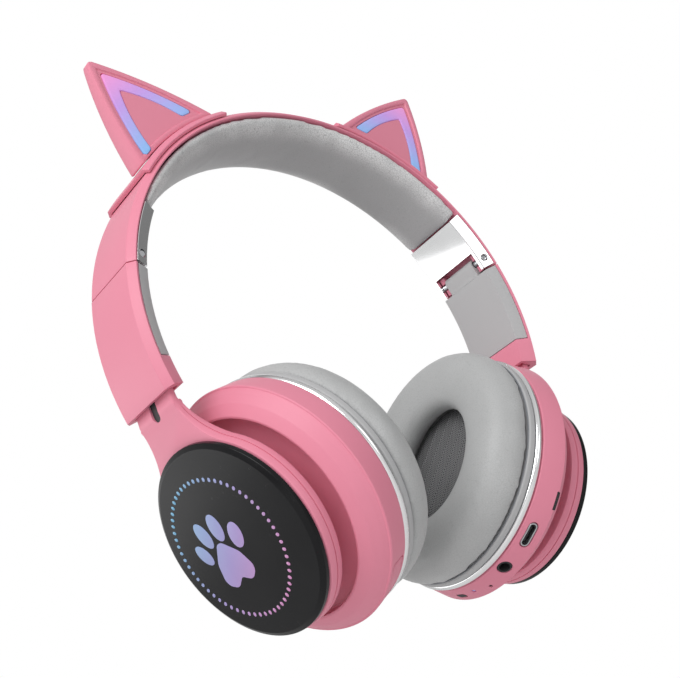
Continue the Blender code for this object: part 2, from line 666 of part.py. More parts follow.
def make_keys(f, tilts):
    """The keys, each on an empty of its own."""
    left, right = CupFrame(-1), CupFrame(1)
    third = 16.8
    for number, name in enumerate(("key_volume_down", "key_power", "key_volume_up")):
        start = -12.0 + number * (third + 0.5)
        pad = key_pad(name, left, start, start + third - 0.5, 1.4, 6.8, 0.05, 37.0, f["pink"])
        middle = start + third / 2
        attach(pad, pivot(f"{name}_travel", left.at(RIM_R, middle, 4.1), tilts[-1]))
    pad = key_pad("key_light", right, -17.3, -11.7, 3.7, 5.6, 0.05, 37.0, f["dark"])
    attach(pad, pivot("key_light_travel", right.at(RIM_R, -14.5, 4.65), tilts[1]))


def main():
    """Build the whole headset."""
    for thing in list(bpy.data.objects):
        bpy.data.objects.remove(thing)
    f = make_finishes()
    make_headband(f)
    tilts = {}
    for side, tag in ((1, "R"), (-1, "L")):
        cup = CupFrame(side)
        make_ear(side, tag, f)
        make_bracket(side, tag, f)
        fold = pivot(f"fold_{tag}", band_point(PIN_AT, PIN_ANGLE, 0, side))
        make_arm(side, tag, f, fold)
        slide = pivot(f"slide_{tag}", band_point(NECK_R, NECK_ANGLE, 0, side), fold)
        make_yoke(side, tag, f, slide)
        swivel = pivot(f"swivel_{tag}", cup.at(0, 0, PIVOT_AX), slide)
        make_collar(side, tag, f, swivel)
        tilts[side] = pivot(f"tilt_{tag}", cup.at(0, 0, PIVOT_AX), swivel)
        shell = make_cup(side, tag, f, tilts[side])
        if side == 1:
            make_right_sockets(shell, f, tilts[side])
        else:
            make_left_inside(shell, f, tilts[side])
    make_keys(f, tilts)


main()
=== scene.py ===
"""Finished surfaces of the cat-eared gaming headset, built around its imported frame.

Every length is in metres in the frame's own axes: +Z up, +X toward the cup with the sockets (tag R),
-X toward the cup with the keys (tag L), and the wearer faces -Y.
"""

from __future__ import annotations

import json
import logging
import math
from dataclasses import dataclass
from enum import Enum
from typing import Callable, Sequence

import bmesh
import bpy
import numpy as np
from mathutils import Matrix, Vector

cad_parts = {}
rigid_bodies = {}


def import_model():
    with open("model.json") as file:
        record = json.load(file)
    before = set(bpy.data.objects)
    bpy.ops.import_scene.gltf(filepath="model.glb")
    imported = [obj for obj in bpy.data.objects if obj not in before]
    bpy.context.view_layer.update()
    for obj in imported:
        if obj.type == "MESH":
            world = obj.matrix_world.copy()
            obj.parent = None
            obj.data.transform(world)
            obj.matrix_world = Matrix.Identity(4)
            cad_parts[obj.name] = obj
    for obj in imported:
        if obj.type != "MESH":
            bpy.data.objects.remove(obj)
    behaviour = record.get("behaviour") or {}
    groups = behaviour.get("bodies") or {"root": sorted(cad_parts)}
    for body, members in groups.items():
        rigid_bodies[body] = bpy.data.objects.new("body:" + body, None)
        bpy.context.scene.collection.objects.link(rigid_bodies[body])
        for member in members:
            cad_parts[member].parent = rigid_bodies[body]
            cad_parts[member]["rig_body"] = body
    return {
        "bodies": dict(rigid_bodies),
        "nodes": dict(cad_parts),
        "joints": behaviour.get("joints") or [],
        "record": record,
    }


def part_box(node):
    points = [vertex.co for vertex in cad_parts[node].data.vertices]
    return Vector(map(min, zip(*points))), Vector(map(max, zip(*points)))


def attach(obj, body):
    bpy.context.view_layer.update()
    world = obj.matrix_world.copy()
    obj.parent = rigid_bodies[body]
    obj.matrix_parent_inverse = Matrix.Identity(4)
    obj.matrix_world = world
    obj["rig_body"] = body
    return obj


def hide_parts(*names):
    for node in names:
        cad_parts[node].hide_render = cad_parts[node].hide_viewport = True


LOG = logging.getLogger("headset")
MM = 0.001
Array = np.ndarray


class Side(Enum):
    """The two sides of the headset, by the sign of X."""

    RIGHT = 1
    LEFT = -1

    @property
    def tag(self) -> str:
        """The letter that ends this side's piece names."""
        return "R" if self is Side.RIGHT else "L"


# ---- where the frame says things are -----------------------------------------------------------
@dataclass(frozen=True)
class Band:
    """The circle that the headband and both arms follow."""

    centre_z: float
    outer: float
    edge_r: float
    edge_y: float = 14.4 * MM
    flat_y: float = 12.0 * MM
    pad_end: float = 58.2
    bracket: tuple[float, float] = (58.6, 75.2)
    seam: float = 75.58
    arm: tuple[float, float, float] = (75.9, 98.4, 105.4)

    @classmethod
    def from_frame(cls) -> "Band":
        """Reads the band's size from the headband shell's box.

        Returns:
            The band's circle.
        """
        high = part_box("headband_shell")[1]
        outer = 80.0 * MM
        return cls(centre_z=high[2] - outer, outer=outer, edge_r=outer - 2.1 * MM)

    def points(self, radius: Array, angle: Array, y: Array, side: int = 1) -> Array:
        """Places on the band: the angle runs from its top, in degrees.

        Args:
            radius: distance from the circle's centre.
            angle: degrees from the top.
            y: place across the band.
            side: 1 turns toward +X, -1 toward -X.

        Returns:
            An array of points with a last axis of 3.
        """
        turn = np.radians(angle)
        x, z = side * radius * np.sin(turn), self.centre_z + radius * np.cos(turn)
        return np.stack(np.broadcast_arrays(x, y, z), axis=-1)


@dataclass(frozen=True)
class CupFrame:
    """The axis of one ear cup, which leans outward and down."""

    side: Side
    centre: Array
    out: Array
    up: Array

    @classmethod
    def from_frame(cls, side: Side, record: dict) -> "CupFrame":
        """Reads the axis from the flat face of the cup's round outer disc.

        Args:
            side: which cup.
            record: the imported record.

        Returns:
            The cup's own frame, whose centre is the middle of the rim plane.
        """
        mount = next(m for m in record["mounts"] if m["name"] == f"face_{side.tag}")
        out = np.array(mount["axis"], dtype=float)
        out /= np.linalg.norm(out)
        centre = np.array(mount["pos_m"], dtype=float) - out * DISC_FRONT
        up = np.array([-out[2] * side.value, 0.0, out[0] * side.value])
        return cls(side, centre, out, up)

    def place(self, u: Array, y: Array, along: Array) -> Array:
        """Points from height u above the axis, y across, and place along the axis."""
        u, y, along = np.broadcast_arrays(u, y, along)
        return (
            self.centre
            + u[..., None] * self.up
            + y[..., None] * np.array([0.0, 1.0, 0.0])
            + along[..., None] * self.out
        )

    def turned(self, radius: Array, turn: Array, along: Array) -> Array:
        """Points from a radius and degrees from the cup's lowest point toward the front."""
        a = np.radians(turn)
        return self.place(-radius * np.cos(a), -radius * np.sin(a), along)


DISC_FRONT = 27.0 * MM
EAR_FRONT_Y = -11.2 * MM


# ---- outlines ----------------------------------------------------------------------------------
def rounded(points: Sequence[tuple[float, float]], radii: float | Sequence[float], steps: int = 5) -> Array:
    """A closed outline with each corner replaced by an arc tangent to both its edges.

    The arc of radius r at a corner with half angle h starts r / tan(h) from the corner; the radius
    shrinks where an edge is too short for it.

    Args:
        points: the corners in order.
        radii: one radius, or one for each corner.
        steps: spans of each arc.

    Returns:
        An (n, 2) array.
    """
    corners = np.asarray(points, dtype=float)
    count = len(corners)
    sizes = np.broadcast_to(np.asarray(radii, dtype=float), (count,))
    before, after = np.roll(corners, 1, axis=0), np.roll(corners, -1, axis=0)
    back, ahead = before - corners, after - corners
    len_back, len_ahead = np.linalg.norm(back, axis=1), np.linalg.norm(ahead, axis=1)
    back, ahead = back / len_back[:, None], ahead / len_ahead[:, None]
    cosine = np.clip((back * ahead).sum(1), -0.9999, 0.9999)
    half = np.arccos(cosine) / 2
    reach = np.minimum(sizes / np.tan(half), 0.48 * np.minimum(len_back, len_ahead))
    t = np.linspace(0.0, 1.0, steps + 1)[None, :, None]
    start = corners[:, None] + back[:, None] * reach[:, None, None]
    end = corners[:, None] + ahead[:, None] * reach[:, None, None]
    # a conic through both tangent points whose middle weight cos(pi/2 - h) makes it a true arc
    weight = np.sin(half)[:, None, None]
    blend = (1 - t) ** 2 * start + 2 * weight * t * (1 - t) * corners[:, None] + t**2 * end
    points = (blend / ((1 - t) ** 2 + 2 * weight * t * (1 - t) + t**2)).reshape(-1, 2)
    apart = np.linalg.norm(points - np.roll(points, 1, axis=0), axis=1) > 1e-7
    return points[apart]


def circle(count: int) -> Array:
    """Turns in degrees for a closed ring of count points."""
    return np.arange(count) * (360.0 / count)


def smoothstep(t: Array) -> Array:
    """The curve 3t^2 - 2t^3, held at 0 and 1 outside the range."""
    t = np.clip(t, 0.0, 1.0)
    return t * t * (3.0 - 2.0 * t)


# ---- meshes ------------------------------------------------------------------------------------
def make_mesh(name: str, points: Array, faces: Array | list,
              material: bpy.types.Material) -> bpy.types.Object:
    """Puts points and faces into a new object at the origin.

    Args:
        name: the piece's name.
        points: (n, 3) places.
        faces: rows of point numbers.
        material: its finish.

    Returns:
        The object, shaded smooth with its sharp edges marked.
    """
    mesh = bpy.data.meshes.new(name)
    mesh.from_pydata(np.asarray(points).tolist(), [], faces if isinstance(faces, list) else faces.tolist())
    mesh.validate()
    mesh.materials.append(material)
    thing = bpy.data.objects.new(name, mesh)
    bpy.context.scene.collection.objects.link(thing)
    shade(thing)
    return thing


def shade(thing: bpy.types.Object, angle: float = 34.0) -> None:
    """Smooth shading that breaks at edges sharper than an angle in degrees."""
    thing.data.shade_smooth()
    thing.data.set_sharp_from_angle(angle=math.radians(angle))


def grid_faces(rows: int, columns: int, wrap_rows: bool, wrap_columns: bool) -> Array:
    """Quads of a grid of point numbers, row by row.

    Quad (i, j) joins points (i, j), (i, j+1), (i+1, j+1) and (i+1, j), with the numbers taken
    round the end where the grid wraps.

    Args:
        rows: rows of points.
        columns: points in a row.
        wrap_rows: whether the last row joins the first.
        wrap_columns: whether each row's last point joins its first.

    Returns:
        (n, 4) point numbers.
    """
    i = np.arange(rows if wrap_rows else rows - 1)
    j = np.arange(columns if wrap_columns else columns - 1)
    i, j = np.meshgrid(i, j, indexing="ij")
    i2, j2 = (i + 1) % rows, (j + 1) % columns
    quads = np.stack([i * columns + j, i * columns + j2, i2 * columns + j2, i2 * columns + j], axis=-1)
    return quads.reshape(-1, 4)


class Ends(Enum):
    """How a tube of rings is closed."""

    WRAP = "wrap"  # the last ring joins the first
    FLAT = "flat"  # one many-sided face on each end
    POLE = "pole"  # a point in the middle of each end


def tube(name: str, rings: Array, ends: Ends, material: bpy.types.Material) -> bpy.types.Object:
    """A closed surface through equal closed rings, with its faces turned outward.

    Args:
        name: the piece's name.
        rings: (ring, point, 3) places.
        ends: how it is closed.
        material: its finish.

    Returns:
        The object.
    """
    count, size = rings.shape[:2]
    points = rings.reshape(-1, 3)
    faces = grid_faces(count, size, ends is Ends.WRAP, True).tolist()
    if ends is Ends.FLAT:
        faces.append(list(range(size))[::-1])
        faces.append(list(range((count - 1) * size, count * size)))
    elif ends is Ends.POLE:
        points = np.vstack([points, rings[0].mean(0), rings[-1].mean(0)])
        j = np.arange(size)
        k, last, top = (j + 1) % size, (count - 1) * size, count * size
        faces += np.stack([k, j, np.full(size, top)], axis=-1).tolist()
        faces += np.stack([last + j, last + k, np.full(size, top + 1)], axis=-1).tolist()
    thing = make_mesh(name, points, faces, material)
    face_outward(thing)
    return thing


def face_outward(thing: bpy.types.Object) -> None:
    """Turns a closed mesh's faces outward when its signed volume says that they look in.

    The volume is the sum of (a x b) . c over the triangles.

    Args:
        thing: the closed piece.
    """
    mesh = thing.data
    mesh.calc_loop_triangles()
    places = np.empty(len(mesh.vertices) * 3)
    mesh.vertices.foreach_get("co", places)
    corners = np.empty(len(mesh.loop_triangles) * 3, dtype=np.int32)
    mesh.loop_triangles.foreach_get("vertices", corners)
    a, b, c = places.reshape(-1, 3)[corners.reshape(-1, 3)].transpose(1, 0, 2)
    if (np.cross(a, b) * c).sum() < 0:
        mesh.flip_normals()


def spun(name: str, cup: CupFrame, profile: Array, material: bpy.types.Material, sides: int = 144,
         wobble: Callable[[Array, Array], Array] | None = None) -> bpy.types.Object:
    """A closed profile of (radius, along) turned about a cup's axis into a ring.

    Args:
        name: the piece's name.
        cup: the axis.
        profile: the closed profile, all of it off the axis.
        material: its finish.
        sides: points round the axis.
        wobble: what to add to the radius, from (turn, along).

    Returns:
        The object.
    """
    turn = circle(sides)[None, :]
    radius, along = profile[:, 0][:, None], profile[:, 1][:, None]
    if wobble is not None:
        radius = radius + wobble(turn, along)
    return tube(name, cup.turned(radius, turn, along), Ends.WRAP, material)


def domed(name: str, cup: CupFrame, profile: Array, material: bpy.types.Material,
          sides: int = 144) -> bpy.types.Object:
    """An open profile of (radius, along) turned about a cup's axis, closed by a point at each end.

    Args:
        name: the piece's name.
        cup: the axis.
        profile: the open profile.
        material: its finish.
        sides: points round the axis.

    Returns:
        The object.
    """
    turn = circle(sides)[None, :]
    return tube(name, cup.turned(profile[:, 0][:, None], turn, profile[:, 1][:, None]), Ends.POLE, material)


def swept(name: str, band: Band, section: Array, start: float, end: float, material: bpy.types.Material,
          side: int = 1, pace: float = 1.0) -> bpy.types.Object:
    """A closed section of (radius, y) carried round the band from one angle to another.

    Args:
        name: the piece's name.
        band: the circle to follow.
        section: the closed section.
        start: first angle, degrees from the top.
        end: last angle.
        material: its finish.
        side: 1 or -1, which way from the top.
        pace: degrees between rings.

    Returns:
        The object.
    """
    steps = max(2, int(abs(end - start) / pace) + 1)
    angle = np.linspace(start, end, steps)[:, None]
    return tube(name, band.points(section[:, 0][None], angle, section[:, 1][None], side), Ends.FLAT, material)


def pressed(name: str, outline: Array, lift: Callable[[Array, Array, Array], Array],
            profile: Sequence[tuple[float, float]], material: bpy.types.Material) -> bpy.types.Object:
    """An outline given thickness, with a profile of (depth, inset) from its back to its front.

    Ring k is the outline moved inward by the inset along its own normals, at that depth; lift turns
    (u, v, depth) into places.

    Args:
        name: the piece's name.
        outline: (n, 2) closed outline.
        lift: the map from flat to space.
        profile: the rings from back to front.
        material: its finish.

    Returns:
        The object, closed by a flat face at each end.
    """
    ahead = np.roll(outline, -1, axis=0) - np.roll(outline, 1, axis=0)
    normal = np.stack([ahead[:, 1], -ahead[:, 0]], axis=-1)
    normal /= np.maximum(np.linalg.norm(normal, axis=1), 1e-12)[:, None]
    area = (outline[:, 0] * np.roll(outline[:, 1], -1) - np.roll(outline[:, 0], -1) * outline[:, 1]).sum()
    inward = -normal * (1.0 if area > 0 else -1.0)
    rings = []
    for depth, inset in profile:
        flat = outline + inward * inset
        rings.append(lift(flat[:, 0], flat[:, 1], np.full(len(flat), depth)))
    return tube(name, np.array(rings), Ends.FLAT, material)


def soften(thing: bpy.types.Object, width: float, segments: int = 3, angle: float = 30.0) -> bpy.types.Object:
    """Rounds a piece's sharp edges with a Bevel of a width, on edges sharper than an angle.

    Args:
        thing: the piece.
        width: the bevel's width.
        segments: its steps.
        angle: the least angle of an edge that is rounded, in degrees.

    Returns:
        The same piece.
    """
    bevel = thing.modifiers.new("edges", "BEVEL")
    bevel.width = width
    bevel.segments = segments
    bevel.limit_method = "ANGLE"
    bevel.angle_limit = math.radians(angle)
    bevel.use_clamp_overlap = True
    bevel.harden_normals = False
    return thing


def bake(thing: bpy.types.Object, angle: float = 34.0) -> bpy.types.Object:
    """Replaces a piece's mesh with what its modifiers make of it.

    Args:
        thing: the piece.
        angle: edges sharper than this stay sharp, in degrees.

    Returns:
        The same piece.
    """
    graph = bpy.context.evaluated_depsgraph_get()
    finished = bpy.data.meshes.new_from_object(thing.evaluated_get(graph), depsgraph=graph)
    finished.name = thing.name
    thing.modifiers.clear()
    thing.data = finished
    shade(thing, angle)
    return thing


def carve(thing: bpy.types.Object, cutters: Sequence[bpy.types.Object],
          operation: str = "DIFFERENCE") -> bpy.types.Object:
    """Cuts closed shapes out of a piece, or joins them to it, and removes the shapes.

    Args:
        thing: the piece.
        cutters: the closed shapes.
        operation: DIFFERENCE or UNION.

    Returns:
        The same piece.
    """
    for tool in cutters:
        step = thing.modifiers.new("cut", "BOOLEAN")
        step.operation = operation
        step.solver = "EXACT"
        step.object = tool
    bake(thing)
    for tool in cutters:
        bpy.data.objects.remove(tool)
    return thing


# ---- node trees --------------------------------------------------------------------------------
Colour = tuple[float, float, float]


class Tree:
    """A shader node tree written in short calls."""

    def __init__(self, tree: bpy.types.NodeTree) -> None:
        """Keeps the tree that is written to."""
        self.tree = tree

    def put(self, socket: bpy.types.NodeSocket, value: object) -> None:
        """Links another socket into this one, or sets its value."""
        if isinstance(value, bpy.types.NodeSocket):
            self.tree.links.new(value, socket)
        else:
            socket.default_value = (*value, 1.0) if socket.type == "RGBA" and len(value) == 3 else value

    def add(self, kind: str, sockets: dict | None = None, **settings: object) -> bpy.types.Node:
        """Adds a node.

        Args:
            kind: its type without the leading ShaderNode.
            sockets: input name or number, and a value or an output to link.
            **settings: the node's own settings.

        Returns:
            The node.
        """
        made = self.tree.nodes.new("ShaderNode" + kind)
        for key, value in settings.items():
            setattr(made, key, value)
        for key, value in (sockets or {}).items():
            self.put(made.inputs[key], value)
        return made

    def noise(self, place: object, scale: float, detail: float = 2.0) -> bpy.types.NodeSocket:
        """Cloudy noise from 0 to 1."""
        return self.add("TexNoise", {"Vector": place, "Scale": scale, "Detail": detail}).outputs["Fac"]

    def span(self, value: object, start: float, end: float, low: float = 0.0,
             high: float = 1.0) -> bpy.types.NodeSocket:
        """Carries the range start..end over to low..high, held at both.

        Args:
            value: what is carried.
            start: where its range starts.
            end: where its range ends.
            low: what start becomes.
            high: what end becomes.

        Returns:
            The output socket.
        """
        sockets = {"Value": value, "From Min": start, "From Max": end, "To Min": low, "To Max": high}
        return self.add("MapRange", sockets).outputs["Result"]

    def math(self, operation: str, first: object, second: object = 0.0) -> bpy.types.NodeSocket:
        """One step of arithmetic."""
        return self.add("Math", {0: first, 1: second}, operation=operation).outputs[0]

    def mix(self, factor: object, first: object, second: object) -> bpy.types.NodeSocket:
        """Blends two colours.

        Args:
            factor: 0 for the first, 1 for the second.
            first: a colour.
            second: a colour.

        Returns:
            The output socket.
        """
        made = self.add("Mix", data_type="RGBA")
        for number, value in ((0, factor), (6, first), (7, second)):
            self.put(made.inputs[number], value)
        return made.outputs[2]

    def bump(self, height: object, strength: float, distance: float) -> bpy.types.NodeSocket:
        """A normal from a height."""
        sockets = {"Height": height, "Strength": strength, "Distance": distance}
        return self.add("Bump", sockets).outputs["Normal"]


def shared(name: str, outputs: Sequence[str],
           build: Callable[[Tree, bpy.types.NodeSocket], list]) -> bpy.types.NodeTree:
    """A node group with one input, Place, and several values out, made on its first use.

    Args:
        name: the group's name.
        outputs: names of the values.
        build: adds the nodes, and returns one output socket for each name.

    Returns:
        The group.
    """
    group = bpy.data.node_groups.get(name)
    if group is not None:
        return group
    group = bpy.data.node_groups.new(name, "ShaderNodeTree")
    group.interface.new_socket("Place", in_out="INPUT", socket_type="NodeSocketVector")
    for label in outputs:
        group.interface.new_socket(label, in_out="OUTPUT", socket_type="NodeSocketFloat")
    tree = Tree(group)
    start, end = group.nodes.new("NodeGroupInput"), group.nodes.new("NodeGroupOutput")
    for socket, value in zip(end.inputs, build(tree, start.outputs["Place"])):
        group.links.new(value, socket)
    return group


def handling() -> bpy.types.NodeTree:
    """Smears left by hands, and fine dust."""

    def build(t: Tree, place: bpy.types.NodeSocket) -> list:
        """Adds the nodes, and gives one output for each name."""
        smear = t.span(t.noise(place, 38.0, 3.0), 0.35, 0.7)
        dust = t.span(t.noise(place, 900.0, 5.0), 0.66, 0.74)
        return [smear, t.math("MULTIPLY", dust, t.span(t.noise(place, 24.0), 0.45, 0.75))]

    return shared("handling_and_dust", ("Smear", "Dust"), build)


def moulding() -> bpy.types.NodeTree:
    """Spark-eroded texture of moulded plastic, about a quarter of a millimetre across."""

    def build(t: Tree, place: bpy.types.NodeSocket) -> list:
        """Adds the nodes, and gives one output for each name."""
        fine = t.noise(place, 4200.0, 3.0)
        flow = t.noise(place, 14.0, 2.0)
        return [fine, t.span(flow, 0.3, 0.7)]

    return shared("moulded_grain", ("Grain", "Flow"), build)


def hide() -> bpy.types.NodeTree:
    """Grain of coated leather: pebbles under a millimetre across, in creases, over slow mottling."""

    def build(t: Tree, place: bpy.types.NodeSocket) -> list:
        """Adds the nodes, and gives one output for each name."""
        drift = t.add("TexNoise", {"Vector": place, "Scale": 300.0, "Detail": 2.0})
        moved = t.add("VectorMath", {0: drift.outputs["Color"], "Scale": 0.0006}, operation="SCALE")
        bent = t.add("VectorMath", {0: place, 1: moved.outputs[0]}, operation="ADD")
        cells = t.add("TexVoronoi", {"Vector": bent.outputs[0], "Scale": 1250.0}, feature="DISTANCE_TO_EDGE")
        pebble = t.span(cells.outputs["Distance"], 0.0, 0.22)
        crease = t.span(cells.outputs["Distance"], 0.0, 0.07, 1.0, 0.0)
        height = t.math("ADD", pebble, t.math("MULTIPLY", t.noise(place, 2600.0), 0.35))
        return [height, crease, t.span(t.noise(place, 55.0, 3.0), 0.3, 0.72)]

    return shared("leather_grain", ("Height", "Crease", "Mottle"), build)


def drawn() -> bpy.types.NodeTree:
    """Fine lines left by rolling or brushing, along Y."""

    def build(t: Tree, place: bpy.types.NodeSocket) -> list:
        """Adds the nodes, and gives one output for each name."""
        stretched = t.add("VectorMath", {0: place, 1: (1.0, 0.03, 1.0)}, operation="MULTIPLY")
        return [t.noise(stretched.outputs[0], 3000.0, 3.0)]

    return shared("brushed_lines", ("Line",), build)


def mesh_cloth() -> bpy.types.NodeTree:
    """Woven mesh in a flat pattern, with a round hole in each cell, and strands over and under."""

    def build(t: Tree, place: bpy.types.NodeSocket) -> list:
        """Adds the nodes, and gives one output for each name."""
        sockets = {"Vector": place, "Scale": 1.0, "Randomness": 0.0}
        cells = t.add("TexVoronoi", sockets, voronoi_dimensions="2D")
        hole = t.span(cells.outputs["Distance"], 0.24, 0.36, 1.0, 0.0)
        parts = t.add("SeparateXYZ", {0: place})
        across = t.math("SINE", t.math("MULTIPLY", parts.outputs["X"], 2 * math.pi))
        down = t.math("SINE", t.math("MULTIPLY", parts.outputs["Y"], 2 * math.pi))
        strand = t.math("MULTIPLY", across, down)
        height = t.math("SUBTRACT", t.span(strand, -1.0, 1.0, 0.4, 1.0), hole)
        return [hole, height]

    return shared("mesh_cloth", ("Hole", "Height"), build)


def blank(name: str) -> tuple[bpy.types.Material, Tree, bpy.types.NodeInputs]:
    """A new material, its tree and the inputs of its Principled BSDF.

    Args:
        name: the material's name.

    Returns:
        The material, its tree and the shader's inputs.
    """
    material = bpy.data.materials.new(name)
    material.use_nodes = True
    return material, Tree(material.node_tree), material.node_tree.nodes["Principled BSDF"].inputs


def darker(colour: Colour, factor: float) -> Colour:
    """A colour scaled by a factor."""
    return tuple(channel * factor for channel in colour)


# ---- finishes ----------------------------------------------------------------------------------
@dataclass(frozen=True)
class Moulded:
    """Moulded plastic: fine grain, slow colour flow, faint smears and a little dust.

    Attributes:
        name: the finish's name.
        colour: its linear colour.
        roughness: its middle roughness.
        relief: strength of the grain.
        gloss: specular level, 0.5 being that of common plastic.
    """

    name: str
    colour: Colour
    roughness: float = 0.4
    relief: float = 0.1
    gloss: float = 0.5

    def make(self) -> bpy.types.Material:
        """Builds the material."""
        material, tree, shader = blank(self.name)
        place = tree.add("TexCoord").outputs["Object"]
        grain = tree.add("Group", {"Place": place}, node_tree=moulding())
        touch = tree.add("Group", {"Place": place}, node_tree=handling())
        base = tree.mix(grain.outputs["Flow"], self.colour, darker(self.colour, 0.955))
        dusty = tuple(channel * 0.9 + 0.05 for channel in self.colour)
        tree.put(shader["Base Color"], tree.mix(touch.outputs["Dust"], base, dusty))
        low, high = self.roughness - 0.035, self.roughness + 0.045
        tree.put(shader["Roughness"], tree.span(touch.outputs["Smear"], 0.0, 1.0, low, high))
        tree.put(shader["Normal"], tree.bump(grain.outputs["Grain"], self.relief, 0.04 * MM))
        shader["Specular IOR Level"].default_value = self.gloss
        return material


@dataclass(frozen=True)
class Leather:
    """Coated leather over foam: pebbled grain, darker creases, slow mottling, and a painted lighter colour
    where the piece's attribute "run" is 1, which stands in for light falling on that band.

    Attributes:
        name: the finish's name.
        colour: its linear colour.
        edge: its painted light colour, the lighter tone where the piece's attribute "run" is 1, standing in
            for light on that band.
        roughness: its middle roughness.
        relief: strength of the grain.
    """

    name: str
    colour: Colour
    edge: Colour
    roughness: float = 0.5
    relief: float = 0.22

    def make(self) -> bpy.types.Material:
        """Builds the material."""
        material, tree, shader = blank(self.name)
        place = tree.add("TexCoord").outputs["Object"]
        grain = tree.add("Group", {"Place": place}, node_tree=hide())
        touch = tree.add("Group", {"Place": place}, node_tree=handling())
        # Painted light: where run is 1 the colour turns toward the lighter edge colour, which stands in for
        # light falling on that band.
        run = tree.add("Attribute", attribute_name="run").outputs["Fac"]
        across = tree.mix(run, self.colour, self.edge)
        base = tree.mix(grain.outputs["Mottle"], across, darker(self.colour, 0.93))
        creased = tree.mix(grain.outputs["Crease"], base, darker(self.colour, 0.84))
        tree.put(shader["Base Color"], tree.mix(touch.outputs["Dust"], creased, (0.6, 0.59, 0.58)))
        low, high = self.roughness - 0.06, self.roughness + 0.06
        tree.put(shader["Roughness"], tree.span(touch.outputs["Smear"], 0.0, 1.0, low, high))
        tree.put(shader["Normal"], tree.bump(grain.outputs["Height"], self.relief, 0.06 * MM))
        shader["Sheen Weight"].default_value = 0.12
        shader["Sheen Roughness"].default_value = 0.4
        return material


@dataclass(frozen=True)
class Metal:
    """Plated or rolled metal, with fine lines and smears in its gloss."""

    name: str
    colour: Colour
    roughness: float = 0.1
    lines: float = 0.02

    def make(self) -> bpy.types.Material:
        """Builds the material."""
        material, tree, shader = blank(self.name)
        place = tree.add("TexCoord").outputs["Object"]
        line = tree.add("Group", {"Place": place}, node_tree=drawn())
        touch = tree.add("Group", {"Place": place}, node_tree=handling())
        handled = tree.mix(touch.outputs["Smear"], self.colour, darker(self.colour, 0.94))
        tree.put(shader["Base Color"], handled)
        rough = tree.span(touch.outputs["Smear"], 0.0, 1.0, self.roughness * 0.7, self.roughness * 1.5)
        tree.put(shader["Roughness"], rough)
        tree.put(shader["Normal"], tree.bump(line.outputs["Line"], self.lines, 0.02 * MM))
        shader["Metallic"].default_value = 1.0
        return material


@dataclass(frozen=True)
class MeshCloth:
    """Woven speaker mesh, mapped flat by the piece's own UVs at one unit to a cell."""

    name: str
    strand: Colour
    hole: Colour

    def make(self) -> bpy.types.Material:
        """Builds the material."""
        material, tree, shader = blank(self.name)
        flat = tree.add("UVMap", uv_map="weave").outputs["UV"]
        cloth = tree.add("Group", {"Place": flat}, node_tree=mesh_cloth())
        place = tree.add("TexCoord").outputs["Object"]
        touch = tree.add("Group", {"Place": place}, node_tree=handling())
        base = tree.mix(touch.outputs["Smear"], self.strand, darker(self.strand, 0.8))
        tree.put(shader["Base Color"], tree.mix(cloth.outputs["Hole"], base, self.hole))
        tree.put(shader["Roughness"], tree.span(cloth.outputs["Hole"], 0.0, 1.0, 0.72, 0.95))
        tree.put(shader["Normal"], tree.bump(cloth.outputs["Height"], 0.5, 0.15 * MM))
        return material


@dataclass(frozen=True)
class Glow:
    """A lit diffuser or a back-lit print, coloured along the piece's own attribute "run", 0 to 1."""

    name: str
    stops: tuple[tuple[float, Colour], ...]
    strength: float = 0.3
    roughness: float = 0.3

    def make(self) -> bpy.types.Material:
        """Builds the material."""
        material, tree, shader = blank(self.name)
        run = tree.add("Attribute", attribute_name="run").outputs["Fac"]
        place = tree.add("TexCoord").outputs["Object"]
        grain = tree.add("Group", {"Place": place}, node_tree=moulding())
        uneven = tree.math("ADD", run, tree.span(grain.outputs["Flow"], 0.0, 1.0, -0.03, 0.03))
        ramp = tree.add("ValToRGB", {"Fac": uneven})
        stops = ramp.color_ramp.elements
        while len(stops) < len(self.stops):
            stops.new(0.5)
        for stop, (place_on, colour) in zip(stops, self.stops):
            stop.position = place_on
            stop.color = (*colour, 1.0)
        tree.put(shader["Base Color"], ramp.outputs["Color"])
        tree.put(shader["Emission Color"], ramp.outputs["Color"])
        shader["Emission Strength"].default_value = self.strength
        shader["Roughness"].default_value = self.roughness
        tree.put(shader["Normal"], tree.bump(grain.outputs["Grain"], 0.05, 0.03 * MM))
        return material


@dataclass(frozen=True)
class Board:
    """A lacquered circuit board with tracks under the lacquer."""

    name: str
    colour: Colour
    track: Colour

    def make(self) -> bpy.types.Material:
        """Builds the material."""
        material, tree, shader = blank(self.name)
        place = tree.add("TexCoord").outputs["Object"]
        cells = tree.add("TexVoronoi", {"Vector": place, "Scale": 420.0}, distance="MANHATTAN")
        line = tree.span(tree.math("FRACT", tree.math("MULTIPLY", cells.outputs["Distance"], 5.0)), 0.42, 0.5)
        tree.put(shader["Base Color"], tree.mix(line, self.colour, self.track))
        tree.put(shader["Roughness"], tree.span(line, 0.0, 1.0, 0.3, 0.42))
        tree.put(shader["Normal"], tree.bump(line, 0.2, 0.03 * MM))
        return material


